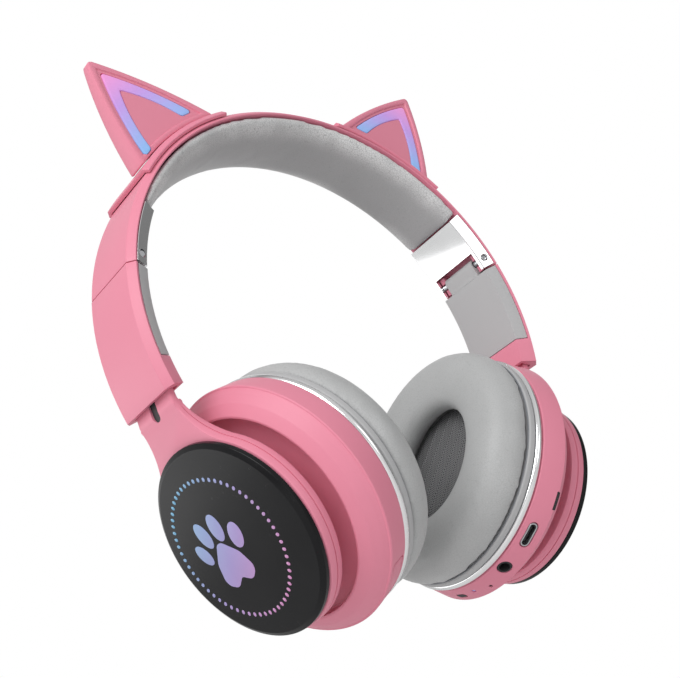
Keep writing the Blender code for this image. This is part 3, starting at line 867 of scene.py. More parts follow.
PINK = (0.80, 0.262, 0.36)
LIT_STOPS = ((0.0, (0.80, 0.30, 0.62)), (0.4, (0.50, 0.30, 0.72)), (1.0, (0.22, 0.46, 0.80)))
FINISHES = (
    Moulded("pink", PINK, 0.46, 0.08, 0.4),
    Moulded("grey", (0.47, 0.47, 0.475), 0.45, 0.12),
    Moulded("black", (0.004, 0.004, 0.005), 0.24, 0.03, 0.24),
    Moulded("dark", (0.022, 0.022, 0.024), 0.55, 0.2),
    Moulded("cell", (0.25, 0.26, 0.28), 0.3, 0.05),
    # The pad's second colour is a painted highlight for its long flanks.
    Leather("pad", (0.42, 0.42, 0.425), (0.80, 0.80, 0.80)),
    # The cushion's second colour is a painted lighter band toward its root, standing in for light on that
    # side.
    Leather("cushion", (0.47, 0.475, 0.475), (0.52, 0.525, 0.525), 0.52, 0.16),
    Metal("chrome", (0.95, 0.955, 0.96), 0.14),
    Metal("steel", (0.55, 0.56, 0.58), 0.3, 0.15),
    MeshCloth("mesh", (0.20, 0.20, 0.205), (0.015, 0.015, 0.016)),
    Glow("light", LIT_STOPS, 0.25),
    Glow("print", ((0.0, (0.17, 0.42, 0.62)), (0.5, (0.36, 0.29, 0.58)), (1.0, (0.62, 0.25, 0.48))), 0.06),
    Board("board", (0.015, 0.13, 0.06), (0.05, 0.26, 0.13)),
)


# ---- placing -----------------------------------------------------------------------------------
@dataclass
class Model:
    """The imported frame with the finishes, and the way every piece is handed over.

    Attributes:
        finishes: every material by its finish's name.
        band: the circle of the headband.
        cups: each cup's axis.
    """

    frame: dict
    finishes: dict[str, bpy.types.Material]
    band: Band
    cups: dict[Side, CupFrame]
    made: int = 0

    @classmethod
    def start(cls) -> "Model":
        """Loads the frame, and makes the finishes."""
        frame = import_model()
        finishes = {finish.name: finish.make() for finish in FINISHES}
        cups = {side: CupFrame.from_frame(side, frame["record"]) for side in Side}
        return cls(frame, finishes, Band.from_frame(), cups)

    def body_of(self, node: str) -> str:
        """The body that carries a CAD node."""
        return self.frame["nodes"][node]["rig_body"]

    def give(self, thing: bpy.types.Object, slot: str, *nodes: str, body: str = "") -> bpy.types.Object:
        """Hands a finished piece over.

        Args:
            thing: the piece.
            slot: the record's material slot; not used.
            *nodes: the CAD nodes that it stands for.
            body: the body it rides on, if it stands for none.

        Returns:
            The piece.
        """
        if nodes:
            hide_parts(*nodes)
        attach(thing, body or self.body_of(nodes[0]))
        self.made += 1
        return thing

    def keep(self, slot: str, *nodes: str) -> None:
        """Leaves CAD nodes as they are, in a full finish."""
        for name in nodes:
            node = self.frame["nodes"][name]
            node.data.materials.clear()
            node.data.materials.append(self.finishes[slot])
            shade(node)

    def fine(self, node: str, slot: str, width: float, segments: int = 2) -> bpy.types.Object:
        """A CAD node's own shape with its flat faces made whole and its edges rounded.

        Args:
            node: the CAD node.
            slot: its finish.
            width: width of the rounding.
            segments: spans of the rounding.

        Returns:
            The piece that stands for the node.
        """
        mesh = self.frame["nodes"][node].data.copy()
        shape = bmesh.new()
        shape.from_mesh(mesh)
        bmesh.ops.remove_doubles(shape, verts=shape.verts, dist=1e-6)
        bmesh.ops.dissolve_limit(
            shape, angle_limit=math.radians(0.6), verts=shape.verts, edges=shape.edges, delimit=set()
        )
        shape.to_mesh(mesh)
        shape.free()
        mesh.materials.clear()
        mesh.materials.append(self.finishes[slot])
        thing = bpy.data.objects.new(f"{node}_finished", mesh)
        bpy.context.scene.collection.objects.link(thing)
        if width > 0:
            soften(thing, width, segments)
        bake(thing)
        return self.give(thing, slot, node)


def inflate(thing: bpy.types.Object, voxel: float, cap: float, held: Callable[[Array], Array],
            pressure: float = 4.0, frames: int = 20) -> bpy.types.Object:
    """Swells a closed piece as a stuffed one by cloth simulation, and keeps the result.

    Args:
        thing: the piece, a little smaller than it ends.
        voxel: size of its remeshed faces.
        cap: farthest that a point may move.
        held: which places stay where they are, as weights of 0 to 1.
        pressure: the air pressure inside.
        frames: steps of the simulation.

    Returns:
        The piece.
    """
    remesh = thing.modifiers.new("even faces", "REMESH")
    remesh.mode = "VOXEL"
    remesh.voxel_size = voxel
    bake(thing)
    before = read_points(thing)
    weights = held(before)
    group = thing.vertex_groups.new(name="held")
    for number in np.flatnonzero(weights > 0.01).tolist():
        group.add([number], float(weights[number]), "REPLACE")
    cloth = thing.modifiers.new("air", "CLOTH")
    cloth.settings.vertex_group_mass = group.name
    cloth.settings.use_pressure = True
    cloth.settings.uniform_pressure_force = pressure
    cloth.settings.effector_weights.gravity = 0.0
    cloth.settings.tension_stiffness = 12.0
    cloth.settings.compression_stiffness = 12.0
    cloth.point_cache.frame_end = frames
    scene = bpy.context.scene
    for frame in range(1, frames + 1):
        scene.frame_set(frame)
    bake(thing)
    scene.frame_set(1)
    moved = read_points(thing) - before
    length = np.linalg.norm(moved, axis=1, keepdims=True)
    write_points(thing, before + moved * np.minimum(1.0, cap / np.maximum(length, 1e-9)))
    thing.vertex_groups.clear()
    smooth = thing.modifiers.new("even", "SMOOTH")
    smooth.factor = 0.5
    smooth.iterations = 6
    finer = thing.modifiers.new("finer", "SUBSURF")
    finer.levels = finer.render_levels = 1
    return bake(thing, 60.0)


def read_points(thing: bpy.types.Object) -> Array:
    """A mesh's points as an (n, 3) array.

    Args:
        thing: the piece.

    Returns:
        Its points.
    """
    places = np.empty(len(thing.data.vertices) * 3)
    thing.data.vertices.foreach_get("co", places)
    return places.reshape(-1, 3)


def write_points(thing: bpy.types.Object, places: Array) -> None:
    """Moves a mesh's points."""
    thing.data.vertices.foreach_set("co", places.reshape(-1))
    thing.data.update()


def paint_run(thing: bpy.types.Object, run: Array) -> None:
    """Stores the 0 to 1 attribute "run" that a glowing finish is coloured by, and that places the painted
    light of a leather finish.
    """
    layer = thing.data.attributes.new("run", "FLOAT", "POINT")
    layer.data.foreach_set("value", np.clip(run, 0.0, 1.0).astype(np.float32))


# ---- headband ----------------------------------------------------------------------------------
@dataclass
class Headband:
    """The outer shell and the padded underside.

    Attributes:
        model: where the pieces go.
        crown: how much smaller the pad starts before it is stuffed.
    """

    model: Model
    crown: float = 0.7 * MM

    def make(self) -> None:
        """Makes both pieces, and finishes the hidden spring strip."""
        band, finishes = self.model.band, self.model.finishes
        under, under_y = 77.5 * MM, band.edge_y - 0.3 * MM
        corners = [
            (under, under_y), (band.edge_r, band.edge_y), (band.outer, band.flat_y),
            (band.outer, -band.flat_y), (band.edge_r, -band.edge_y), (under, -under_y),
        ]
        section = rounded(corners, [0.1 * MM, 0.9 * MM, 1.1 * MM, 1.1 * MM, 0.9 * MM, 0.1 * MM])
        shell = swept("headband_outer", band, section, -band.seam, band.seam, finishes["pink"])
        soften(shell, 0.25 * MM, 2, 60.0)
        bake(shell)
        lugs = []
        for side in Side:
            for inner, outer in ((8.0 * MM, 10.2 * MM), (-10.2 * MM, -8.0 * MM)):
                low, high = 74.7 * MM, 78.2 * MM
                box = np.array([(low, inner), (high, inner), (high, outer), (low, outer)])
                lugs.append(swept("lug", band, box, 70.0, 75.2, finishes["pink"], side.value))
        carve(shell, lugs, "UNION")
        carve(shell, [pin_tool(band, side.value, finishes["pink"]) for side in Side])
        self.model.give(shell, "pink", "headband_shell")
        self.model.keep("steel", "spring_strip")
        self.pad()

    def pad(self) -> None:
        """The stuffed pad, thinner toward its ends."""
        band = self.model.band
        angle = np.linspace(-band.pad_end - 0.15, band.pad_end + 0.15, 141)[:, None]
        thin = 3.0 * MM * np.abs(angle / band.pad_end) ** 3
        crown = self.crown * np.maximum(1.0 - np.abs(angle / band.pad_end) ** 3, 0.0)
        t = np.linspace(0.0, math.pi, 19)
        under = np.stack([
            76.6 * MM - 6.4 * MM * np.sin(t) ** 0.8,
            14.1 * MM * np.sign(np.cos(t)) * np.abs(np.cos(t)) ** 0.8,
        ], axis=-1)
        seat = np.array([
            (77.2, -14.1), (77.1, -7.5), (76.0, -7.0), (76.0, 7.0), (77.1, 7.5), (77.2, 14.1),
        ]) * MM
        section = rounded(np.vstack([seat, under]), [0.3 * MM] * 6 + [0.0] * 19, 3)
        share = np.clip((77.1 * MM - section[:, 0]) / (6.9 * MM), 0.0, 1.0)[None, :]
        radius = section[:, 0][None, :] + share * (thin + crown)
        rings = band.points(radius, angle, section[:, 1][None, :] * (1.0 - 0.03 * share))
        pad = tube("headband_cushion", rings, Ends.FLAT, self.model.finishes["pad"])

        def held(places: Array) -> Array:
            """1 where the pad is stuck down, 0 where it is free."""
            reach = np.hypot(places[:, 0], places[:, 2] - band.centre_z)
            return np.clip((reach - 75.6 * MM) / (0.5 * MM), 0.0, 1.0)

        inflate(pad, 1.5 * MM, 1.2 * MM, held)
        # Painted highlight: run rises toward both long flanks, where the pad turns a much lighter grey that
        # stands in for light falling on them.
        paint_run(pad, smoothstep((np.abs(read_points(pad)[:, 1]) - 6.0 * MM) / (7.5 * MM)))
        self.model.give(pad, "pad", "headband_pad")


# ---- ears --------------------------------------------------------------------------------------
@dataclass
class Ear:
    """One cat ear: a shell with a raised rim, its light guide and the saddle it stands on."""

    model: Model
    side: Side
    tip: tuple[float, float] = (68.3 * MM, 94.9 * MM)
    base_r: float = 82.0 * MM
    spread: tuple[float, float] = (19.5, 47.5)
    inset: tuple[float, float] = (2.3 * MM, 6.4 * MM)
    feet: tuple[float, float] = (3.4 * MM, 0.8 * MM)
    depths: tuple[float, float] = (8.6 * MM, 4.4 * MM)
    rim: float = 1.7 * MM
    sunk: float = 0.55 * MM

    def sides(self, inset: float, feet: tuple[float, float], rise: float, stretch: float = 0.0) -> Array:
        """Both bowed sides as one open line over the tip, in (x, z) from the band's centre.

        Args:
            inset: how far inside the straight sides it runs.
            feet: how far above the base's arc each end stands.
            rise: how far the middle of each side stands off its chord.
            stretch: how much further out the tip is set.

        Returns:
            (23, 2) points; the tip is the twelfth.
        """
        turns = [math.radians(a) for a in self.spread]
        start, end = [(self.base_r * math.sin(a), self.base_r * math.cos(a)) for a in turns]
        a, t, b = np.array([start, self.tip, end])
        t = t * (1.0 + stretch / math.hypot(*self.tip))
        inner = (a - t) / np.linalg.norm(a - t), (b - t) / np.linalg.norm(b - t)
        half = math.acos(float(inner[0] @ inner[1])) / 2
        tip = t + (inner[0] + inner[1]) / np.linalg.norm(inner[0] + inner[1]) * (inset / math.sin(half))
        legs = []
        for way, foot in zip(inner, feet):
            toward = float(tip @ way)
            reach = float(tip @ tip) - (self.base_r + foot) ** 2
            legs.append(tip + way * (-toward - math.sqrt(toward**2 - reach)))
        return np.vstack([bowed(legs[0], tip, rise, 12)[:-1], bowed(tip, legs[1], rise, 12)])

    def outline(self, inset: float) -> Array:
        """The ear's outline, moved inward: both sides, a rounded tip and the base's arc."""
        line = self.sides(inset, (inset, inset), 1.6 * MM, 0.5 * MM)
        turn = np.linspace(math.atan2(*line[-1]), math.atan2(*line[0]), 9)[1:-1]
        points = np.vstack([line, np.stack([np.sin(turn), np.cos(turn)], axis=-1) * (self.base_r + inset)])
        radii = np.zeros(len(points))
        radii[11] = max(1.5 * MM - inset, 0.3 * MM)
        radii[[0, 22]] = max(0.5 * MM - inset, 0.15 * MM)
        return rounded(points, radii, 6)

    def lift(self, x: Array, z: Array, depth: Array) -> Array:
        """Places behind the front face, which leans back toward the tip; depth 1000 is the back face.

        A depth under 500 mm is metres behind the front face; from there on it counts from the back.
        """
        reach = math.hypot(*self.tip) - self.base_r
        height = (np.hypot(x, z) - self.base_r) / reach
        front = EAR_FRONT_Y + 1.4 * MM * height
        back = front + self.depths[0] + (self.depths[1] - self.depths[0]) * height
        y = np.where(depth < 0.5, front + depth, back + depth - 1.0)
        return np.stack([self.side.value * x, y, z + self.model.band.centre_z], axis=-1)

    def guide(self, gap: float) -> Array:
        """The bowed V of the light guide, made smaller all round by a gap."""
        feet = (self.feet[0] + gap, self.feet[1] + gap)
        legs = [self.sides(inset, feet, 1.2 * MM) for inset in (self.inset[0] + gap, self.inset[1] - gap)]
        points = np.vstack([legs[0], legs[1][::-1]])
        radii = np.zeros(len(points))
        radii[[0, 22, 23, 45]] = ((self.inset[1] - self.inset[0]) / 2 - gap) * 0.92
        radii[11], radii[34] = 1.6 * MM, 0.5 * MM
        return rounded(points, radii, 6)

    def make(self) -> None:
        """Makes the shell, the light guide and the saddle."""
        tag, give, pink = self.side.tag, self.model.give, self.model.finishes["pink"]
        profile = [
            (0.9996, 1.2 * MM), (1.0, 0.7 * MM), (0.9996, 0.25 * MM), (0.999, 0.0), (0.5 * MM, 0.0),
            (0.15 * MM, 0.12 * MM), (0.0, 0.45 * MM), (0.0, self.rim - 0.3 * MM), (0.12 * MM, self.rim),
            (self.sunk, self.rim + 0.2 * MM),
        ]
        rings = []
        for depth, inset in profile:
            flat = self.outline(inset)
            rings.append(self.lift(flat[:, 0], flat[:, 1], np.full(len(flat), depth)))
        shell = tube(f"ear_{tag}", np.array(rings), Ends.FLAT, pink)
        well = pressed(
            f"ear_well_{tag}", self.guide(0.0), self.lift, [(1.6 * MM, 0.0), (-2 * MM, 0.0)], pink
        )
        give(carve(shell, [well]), "pink", f"ear_shell_{tag}")
        outline = self.guide(0.2 * MM)
        rise = 0.35 * MM
        profile = [
            (1.3 * MM, 0.0), (rise + 0.35 * MM, 0.0), (rise + 0.1 * MM, 0.1 * MM),
            (rise, 0.4 * MM), (rise, 0.9 * MM),
        ]
        light = pressed(f"ear_glow_{tag}", outline, self.lift, profile, self.model.finishes["light"])
        places = read_points(light)
        height = np.hypot(places[:, 0], places[:, 2] - self.model.band.centre_z)
        low, high = height.min(), height.max()
        paint_run(light, (high - height) / (high - low))
        give(light, "light", f"ear_light_{tag}")
        corners = [
            (80.3, -12.1), (79.2, -13.4), (80.0, -14.2), (81.7, -12.4),
            (81.7, 12.4), (80.0, 14.2), (79.2, 13.4), (80.3, 12.1),
        ]
        section = rounded(np.array(corners) * MM, [0.1 * MM, 0.1 * MM, 0.4 * MM, 0.5 * MM] * 2, 4)
        band = self.model.band
        saddle = swept(f"ear_foot_{tag}", band, section, 17.5, 50.0, pink, self.side.value)
        soften(saddle, 0.2 * MM, 2, 60.0)
        give(bake(saddle), "pink", f"ear_saddle_{tag}")


def bowed(start: Array, end: Array, rise: float, count: int) -> Array:
    """Points from start to end in a plane, on a shallow curve that stands off the chord's left side.

    The rise is 4t(1 - t) of its full height at share t of the chord.

    Args:
        start: first point.
        end: last point.
        rise: height at the middle.
        count: how many points.

    Returns:
        (count, 2) points.
    """
    t = np.linspace(0.0, 1.0, count)[:, None]
    way = (end - start) / np.linalg.norm(end - start)
    return start + (end - start) * t + np.array([-way[1], way[0]]) * (4 * t * (1 - t)) * rise


def pin_tool(band: Band, side: float, material: bpy.types.Material) -> bpy.types.Object:
    """A cutter for the hinge pin's hole, with a little room round the pin.

    Args:
        band: the band it crosses.
        side: 1 for +X, -1 for -X.
        material: the finish of the hole's wall.

    Returns:
        The cutter.
    """
    middle = band.points(75.2 * MM, 72.6, 0.0, side)
    turn = np.radians(circle(32))
    rings = [middle + np.stack([np.cos(turn), 0 * turn + y / (1.35 * MM), np.sin(turn)], axis=-1) * 1.35 * MM
             for y in (-20 * MM, 20 * MM)]
    return tube("pin_tool", np.array(rings), Ends.FLAT, material)


# ---- arms --------------------------------------------------------------------------------------
@dataclass
class Arm:
    """The bright hinge bracket, and the folding arm with its cover."""

    model: Model
    side: Side

    def bracket(self) -> None:
        """The bracket: a U section bent round the band, notched for the arm's tongue, with pin holes."""
        tag, band, chrome = self.side.tag, self.model.band, self.model.finishes["chrome"]
        corners = [
            (77.2, -14.0), (73.0, -11.9), (73.0, 11.9), (77.2, 14.0),
            (77.2, 12.8), (74.2, 10.9), (74.2, -10.9), (77.2, -12.8),
        ]
        radii = [0.2, 0.45, 0.45, 0.2, 0.2, 0.3, 0.3, 0.2]
        section = rounded(np.array(corners) * MM, np.array(radii) * MM, 4)
        piece = swept(f"bracket_{tag}", band, section, 58.65, 75.15, chrome, self.side.value)
        box = np.array([(71.0, -10.6), (75.4, -10.6), (75.4, 10.6), (71.0, 10.6)]) * MM
        notch = swept(f"notch_{tag}", band, box, 69.6, 77.0, chrome, self.side.value)
        carve(piece, [notch, pin_tool(band, self.side.value, chrome)])
        self.model.give(piece, "chrome", f"hinge_bracket_{tag}")

    def make(self) -> None:
        """Makes the bracket and the pin, and finishes the arm's shell and cover from their own solids."""
        tag = self.side.tag
        self.bracket()
        middle = self.model.band.points(75.2 * MM, 72.6, 0.0, self.side.value)
        turn = np.radians(circle(32))
        steps = ((0.9, -12.8), (1.1, -12.6), (1.1, 12.6), (0.9, 12.8))
        rings = [
            middle + np.stack([radius * np.cos(turn), 0 * turn + y, radius * np.sin(turn)], axis=-1)
            for radius, y in ((radius * MM, y * MM) for radius, y in steps)
        ]
        pin = tube(f"pin_{tag}", np.array(rings), Ends.FLAT, self.model.finishes["steel"])
        self.model.give(pin, "steel", f"hinge_pin_{tag}")
        self.model.fine(f"arm_shell_{tag}", "pink", 0.35 * MM, 3)
        self.model.fine(f"arm_cover_{tag}", "grey", 0.3 * MM, 3)


# ---- yoke --------------------------------------------------------------------------------------
@dataclass
class Yoke:
    """The yoke: round plate, flare, neck and ball in one piece, with the black face disc on it."""

    model: Model
    side: Side
    plate_r: float = 31.4 * MM
    back: float = 18.8 * MM
    front: float = 24.2 * MM
    neck_y: float = 10.4 * MM
    flare_r: float = 22.0 * MM
    disc_r: float = 30.9 * MM
    flat_r: float = 29.4 * MM

    def top(self) -> float:
        """How far above the plate's centre the flare's round corners leave the neck."""
        return math.sqrt((self.plate_r + self.flare_r) ** 2 - (self.neck_y + self.flare_r) ** 2)

    def outline(self) -> Array:
        """Plate and flare in one outline of (y, u): a circle and two concave arcs tangent to it."""
        top, across = self.top(), self.neck_y + self.flare_r
        bearing = math.atan2(top, across)
        arc = np.linspace(math.pi, math.pi + bearing, 14)
        right = np.stack([across + self.flare_r * np.cos(arc), top + self.flare_r * np.sin(arc)], axis=-1)
        turn = np.linspace(bearing, -math.pi - bearing, 130)[1:-1]
        plate = np.stack([np.cos(turn), np.sin(turn)], axis=-1) * self.plate_r
        return np.vstack([right, plate, right[::-1] * np.array([-1.0, 1.0])])

    def neck_path(self) -> tuple[Array, Array, Array]:
        """Stations of the neck: places, outward directions and thicknesses.

        It runs straight down inside the arm, then bends to the plate along a curve whose two ends
        are tangent to both directions.
        """
        band, cup, s = self.model.band, self.model.cups[self.side], self.side.value
        a = math.radians(95.5)
        way = np.array([s * math.cos(a), 0.0, -math.sin(a)])
        thick = np.array([-way[2], 0.0, way[0]]) * s
        near = band.points(75.6 * MM, 95.5, 0.0, s)
        leave = near + way * (band.outer * math.radians(band.arm[2] - 95.5) + 0.5 * MM)
        bend = cup.place(np.array(self.top() - 0.5 * MM), np.array(0.0), np.array(22.45 * MM))
        start = leave + way * 1.6 * MM
        t = np.linspace(0.0, 1.0, 9)[:, None]
        knee = start + way * np.linalg.norm(bend - start) * 0.5
        curve = (1 - t) ** 2 * start + 2 * t * (1 - t) * knee + t**2 * bend
        foot = bend - cup.up * 6 * MM
        places = np.vstack([leave - way * 26 * MM, leave - way * 1.0 * MM, leave, curve, foot])
        share = smoothstep(np.concatenate([[0, 0, 0], t[:, 0], [1]]))[:, None]
        over = thick * (1 - share) + cup.out * share
        over /= np.linalg.norm(over, axis=1, keepdims=True)
        depth = np.concatenate([[2.2, 2.2, 2.2], np.linspace(2.4, 2.94, 9), [2.94]]) * MM
        return places, over, depth

    def neck(self) -> bpy.types.Object:
        """The neck as a tube of rounded sections."""
        places, over, depth = self.neck_path()
        rings = []
        for place, out, thickness in zip(places, over, depth):
            y, o = self.neck_y, thickness / 2
            flat = rounded([(y, o), (-y, o), (-y, -o), (y, -o)], min(0.8 * MM, o * 0.7), 4)
            rings.append(place + flat[:, :1] * np.array([0.0, 1.0, 0.0]) + flat[:, 1:] * out)
        return tube(f"neck_{self.side.tag}", np.array(rings), Ends.FLAT, self.model.finishes["pink"])

    def slot(self, name: str, heights: Sequence[tuple[float, float]], finish: str) -> bpy.types.Object:
        """A round-ended block over the recess in the neck's outer face, with (height, growth) rings.

        Args:
            name: the piece's name.
            heights: (height, growth) of each ring.
            finish: the name of its finish.

        Returns:
            The block.
        """
        places, over, depth = self.neck_path()
        along = places[5] - places[2]
        along /= np.linalg.norm(along)
        rise = over[3] - along * float(over[3] @ along)
        rise /= np.linalg.norm(rise)
        high = places[2] + over[2] * (depth[2] / 2 - 1.3 * MM) - along * 6.0 * MM
        half, length = 1.95 * MM, 10.5 * MM
        rings = []
        for height, grow in heights:
            reach, wide = length + grow, half + grow
            corners = [(-grow, -wide), (reach, -wide), (reach, wide), (-grow, wide)]
            flat = rounded(corners, (half + grow) * 0.999, 8)
            rings.append(high + along * flat[:, :1] + np.array([0.0, 1.0, 0.0]) * flat[:, 1:] + rise * height)
        return tube(f"{name}_{self.side.tag}", np.array(rings), Ends.FLAT, self.model.finishes[finish])

    def make(self) -> None:
        """Makes the yoke and the disc, and finishes what lies between them."""
        cup, tag, finishes = self.model.cups[self.side], self.side.tag, self.model.finishes
        pink = finishes["pink"]
        middle = (self.back + self.front) / 2

        def lift(y: Array, u: Array, depth: Array) -> Array:
            """A place on the plate, which thins toward the top of its flare."""
            thin = smoothstep((u - 26 * MM) / (self.top() - 26 * MM))
            share = (self.front - depth) / (self.front - self.back)
            return cup.place(u, y, depth + thin * (2.1 * MM * share - 0.3 * MM * (1.0 - share)))

        line = 0.2 * MM
        profile = [
            (self.back, 0.9 * MM), (self.back + 0.25 * MM, 0.3 * MM), (self.back + 0.9 * MM, 0.0),
            (middle - line, 0.0), (middle - line * 0.9, 0.3 * MM),
            (middle + line * 0.9, 0.3 * MM), (middle + line, 0.0),
            (self.front - 0.7 * MM, 0.0), (self.front - 0.15 * MM, 0.25 * MM), (self.front, 0.7 * MM),
        ]
        plate = pressed(f"yoke_body_{tag}", self.outline(), lift, profile, pink)
        ball_turn = np.radians(np.linspace(4.0, 140.0, 16))
        ball = np.stack([6.0 * MM * np.sin(ball_turn), 15.0 * MM - 6.0 * MM * np.cos(ball_turn)], axis=-1)
        stem = np.array([(3.8 * MM, self.back + 1.0 * MM), (0.5 * MM, self.back + 1.2 * MM)])
        joined = [self.neck(), domed(f"ball_{tag}", cup, np.vstack([ball, stem]), pink, 40)]
        carve(plate, joined, "UNION")
        pocket_r, floor = self.plate_r - 1.9 * MM, self.back + 2.4 * MM
        above = self.front + 2 * MM
        pocket = np.array([(1 * MM, floor), (pocket_r, floor), (pocket_r, above), (1 * MM, above)])
        recess = self.slot("recess", ((0.0, 0.0), (5 * MM, 0.0)), "pink")
        carve(plate, [domed(f"pocket_{tag}", cup, pocket, pink, 96), recess])
        self.model.give(plate, "pink", f"yoke_{tag}")
        # Painted shade: a dark sheet on the floor of the neck's recess stands in for the shadow inside the
        # recess.
        steps = ((0.02 * MM, -0.05 * MM), (0.7 * MM, -0.05 * MM), (0.75 * MM, -0.1 * MM))
        slot_shade = self.slot("slot_liner", steps, "dark")
        self.model.give(slot_shade, "dark", body=f"yoke_{tag}")
        self.model.keep("board", f"lamp_board_{tag}")
        self.model.fine(f"swivel_collar_{tag}", "dark", 0.2 * MM)

        back = 24.5 * MM
        corners = [
            (0.0, back), (self.disc_r, back), (self.disc_r, DISC_FRONT - 0.9 * MM),
            (self.flat_r, DISC_FRONT), (0.0, DISC_FRONT),
        ]
        face = rounded(corners, [0.0, 0.3 * MM, 0.35 * MM, 0.5 * MM, 0.0])
        face = face[face[:, 0] > 0.5 * MM]
        face = face[np.argsort(np.arctan2(face[:, 1] - (back + 1.2 * MM), 1e-9 + face[:, 0] - 20 * MM))]
        disc = domed(f"face_{tag}", cup, face, finishes["black"])
        self.model.give(disc, "black", f"face_disc_{tag}")
        self.print_face()

    def print_face(self) -> None:
        """The printed ring of dots and the paw, a film's thickness proud of the disc.

        Every mark is an oval of (height, across, half length, half width, lean); the paw's pad is
        one rounded outline of eight corners.
        """
        tag = self.side.tag
        centre_y, ring_r, count = 4.1 * MM, 21.8 * MM, 60
        marks = []
        for lean in circle(count).tolist():
            a = math.radians(lean)
            u, y = ring_r * math.cos(a), centre_y + ring_r * math.sin(a)
            marks.append((u, y, 0.7 * MM, 0.55 * MM, lean))
        toes = (
            (2.2, 16.0, 3.8, 2.3, 24.0), (7.0, 10.9, 4.4, 2.6, 8.0),
            (7.0, 4.0, 4.4, 2.7, -8.0), (2.1, -1.9, 4.1, 2.8, -24.0),
        )
        marks += [(u * MM, y * MM, long * MM, short * MM, lean) for u, y, long, short, lean in toes]
        points, faces, run = [], [], []
        for u, y, long_half, short_half, lean in marks:
            sides = 14 if long_half < MM else 36
            self.mark(points, faces, run, u, y, ellipse(long_half, short_half, lean, sides))
        pad = rounded(
            [(3.9, 7.2), (-2.2, 1.2), (-8.6, -0.9), (-11.2, 3.4),
             (-8.8, 7.2), (-11.2, 11.2), (-8.6, 15.4), (-2.2, 13.2)],
            [2.6, 5.0, 3.0, 2.6, 1.4, 2.6, 3.0, 5.0], 7,
        ) * MM
        middle = pad.mean(0)
        self.mark(points, faces, run, middle[0], middle[1], pad - middle)
        thing = make_mesh(f"face_print_{tag}", np.vstack(points), faces, self.model.finishes["print"])
        paint_run(thing, np.concatenate(run))
        self.model.give(thing, "light", body=f"yoke_{tag}")

    def mark(self, points: list, faces: list, run: list, u: float, y: float, outline: Array) -> None:
        """Adds one closed mark, with its colour running from the upper front to the lower back.

        Args:
            points: the point arrays so far.
            faces: the faces so far.
            run: the colour shares so far.
            u: the mark's height on the disc.
            y: its place across.
            outline: its closed outline.
        """
        cup, count = self.model.cups[self.side], len(outline)
        start = sum(len(p) for p in points)
        for height, inset in ((0.01 * MM, 1.0), (0.06 * MM, 1.0), (0.09 * MM, 0.93)):
            flat = outline * inset + np.array([u, y])
            points.append(cup.place(flat[:, 0], flat[:, 1], np.full(count, DISC_FRONT + height)))
            run.append(0.5 + (flat[:, 0] * -0.8 + (4.1 * MM - flat[:, 1]) * 0.6) / (46 * MM))
        quads = grid_faces(3, count, False, True) + start
        area = (outline[:, 0] * np.roll(outline[:, 1], -1) - np.roll(outline[:, 0], -1) * outline[:, 1]).sum()
        flip = (area > 0) == (self.side is Side.LEFT)
        ends = [list(range(start, start + count))[::-1], list(range(start + 2 * count, start + 3 * count))]
        for face in quads.tolist() + ends:
            faces.append(face[::-1] if flip else face)


def ellipse(long_half: float, short_half: float, lean: float, count: int) -> Array:
    """An oval of (u, y) points, leaning from upright by some degrees.

    Args:
        long_half: half its length.
        short_half: half its width.
        lean: its lean in degrees.
        count: how many points.

    Returns:
        (count, 2) points.
    """
    t, a = np.radians(circle(count)), math.radians(lean)
    u, y = long_half * np.cos(t), short_half * np.sin(t)
    return np.stack([u * math.cos(a) - y * math.sin(a), u * math.sin(a) + y * math.cos(a)], axis=-1)


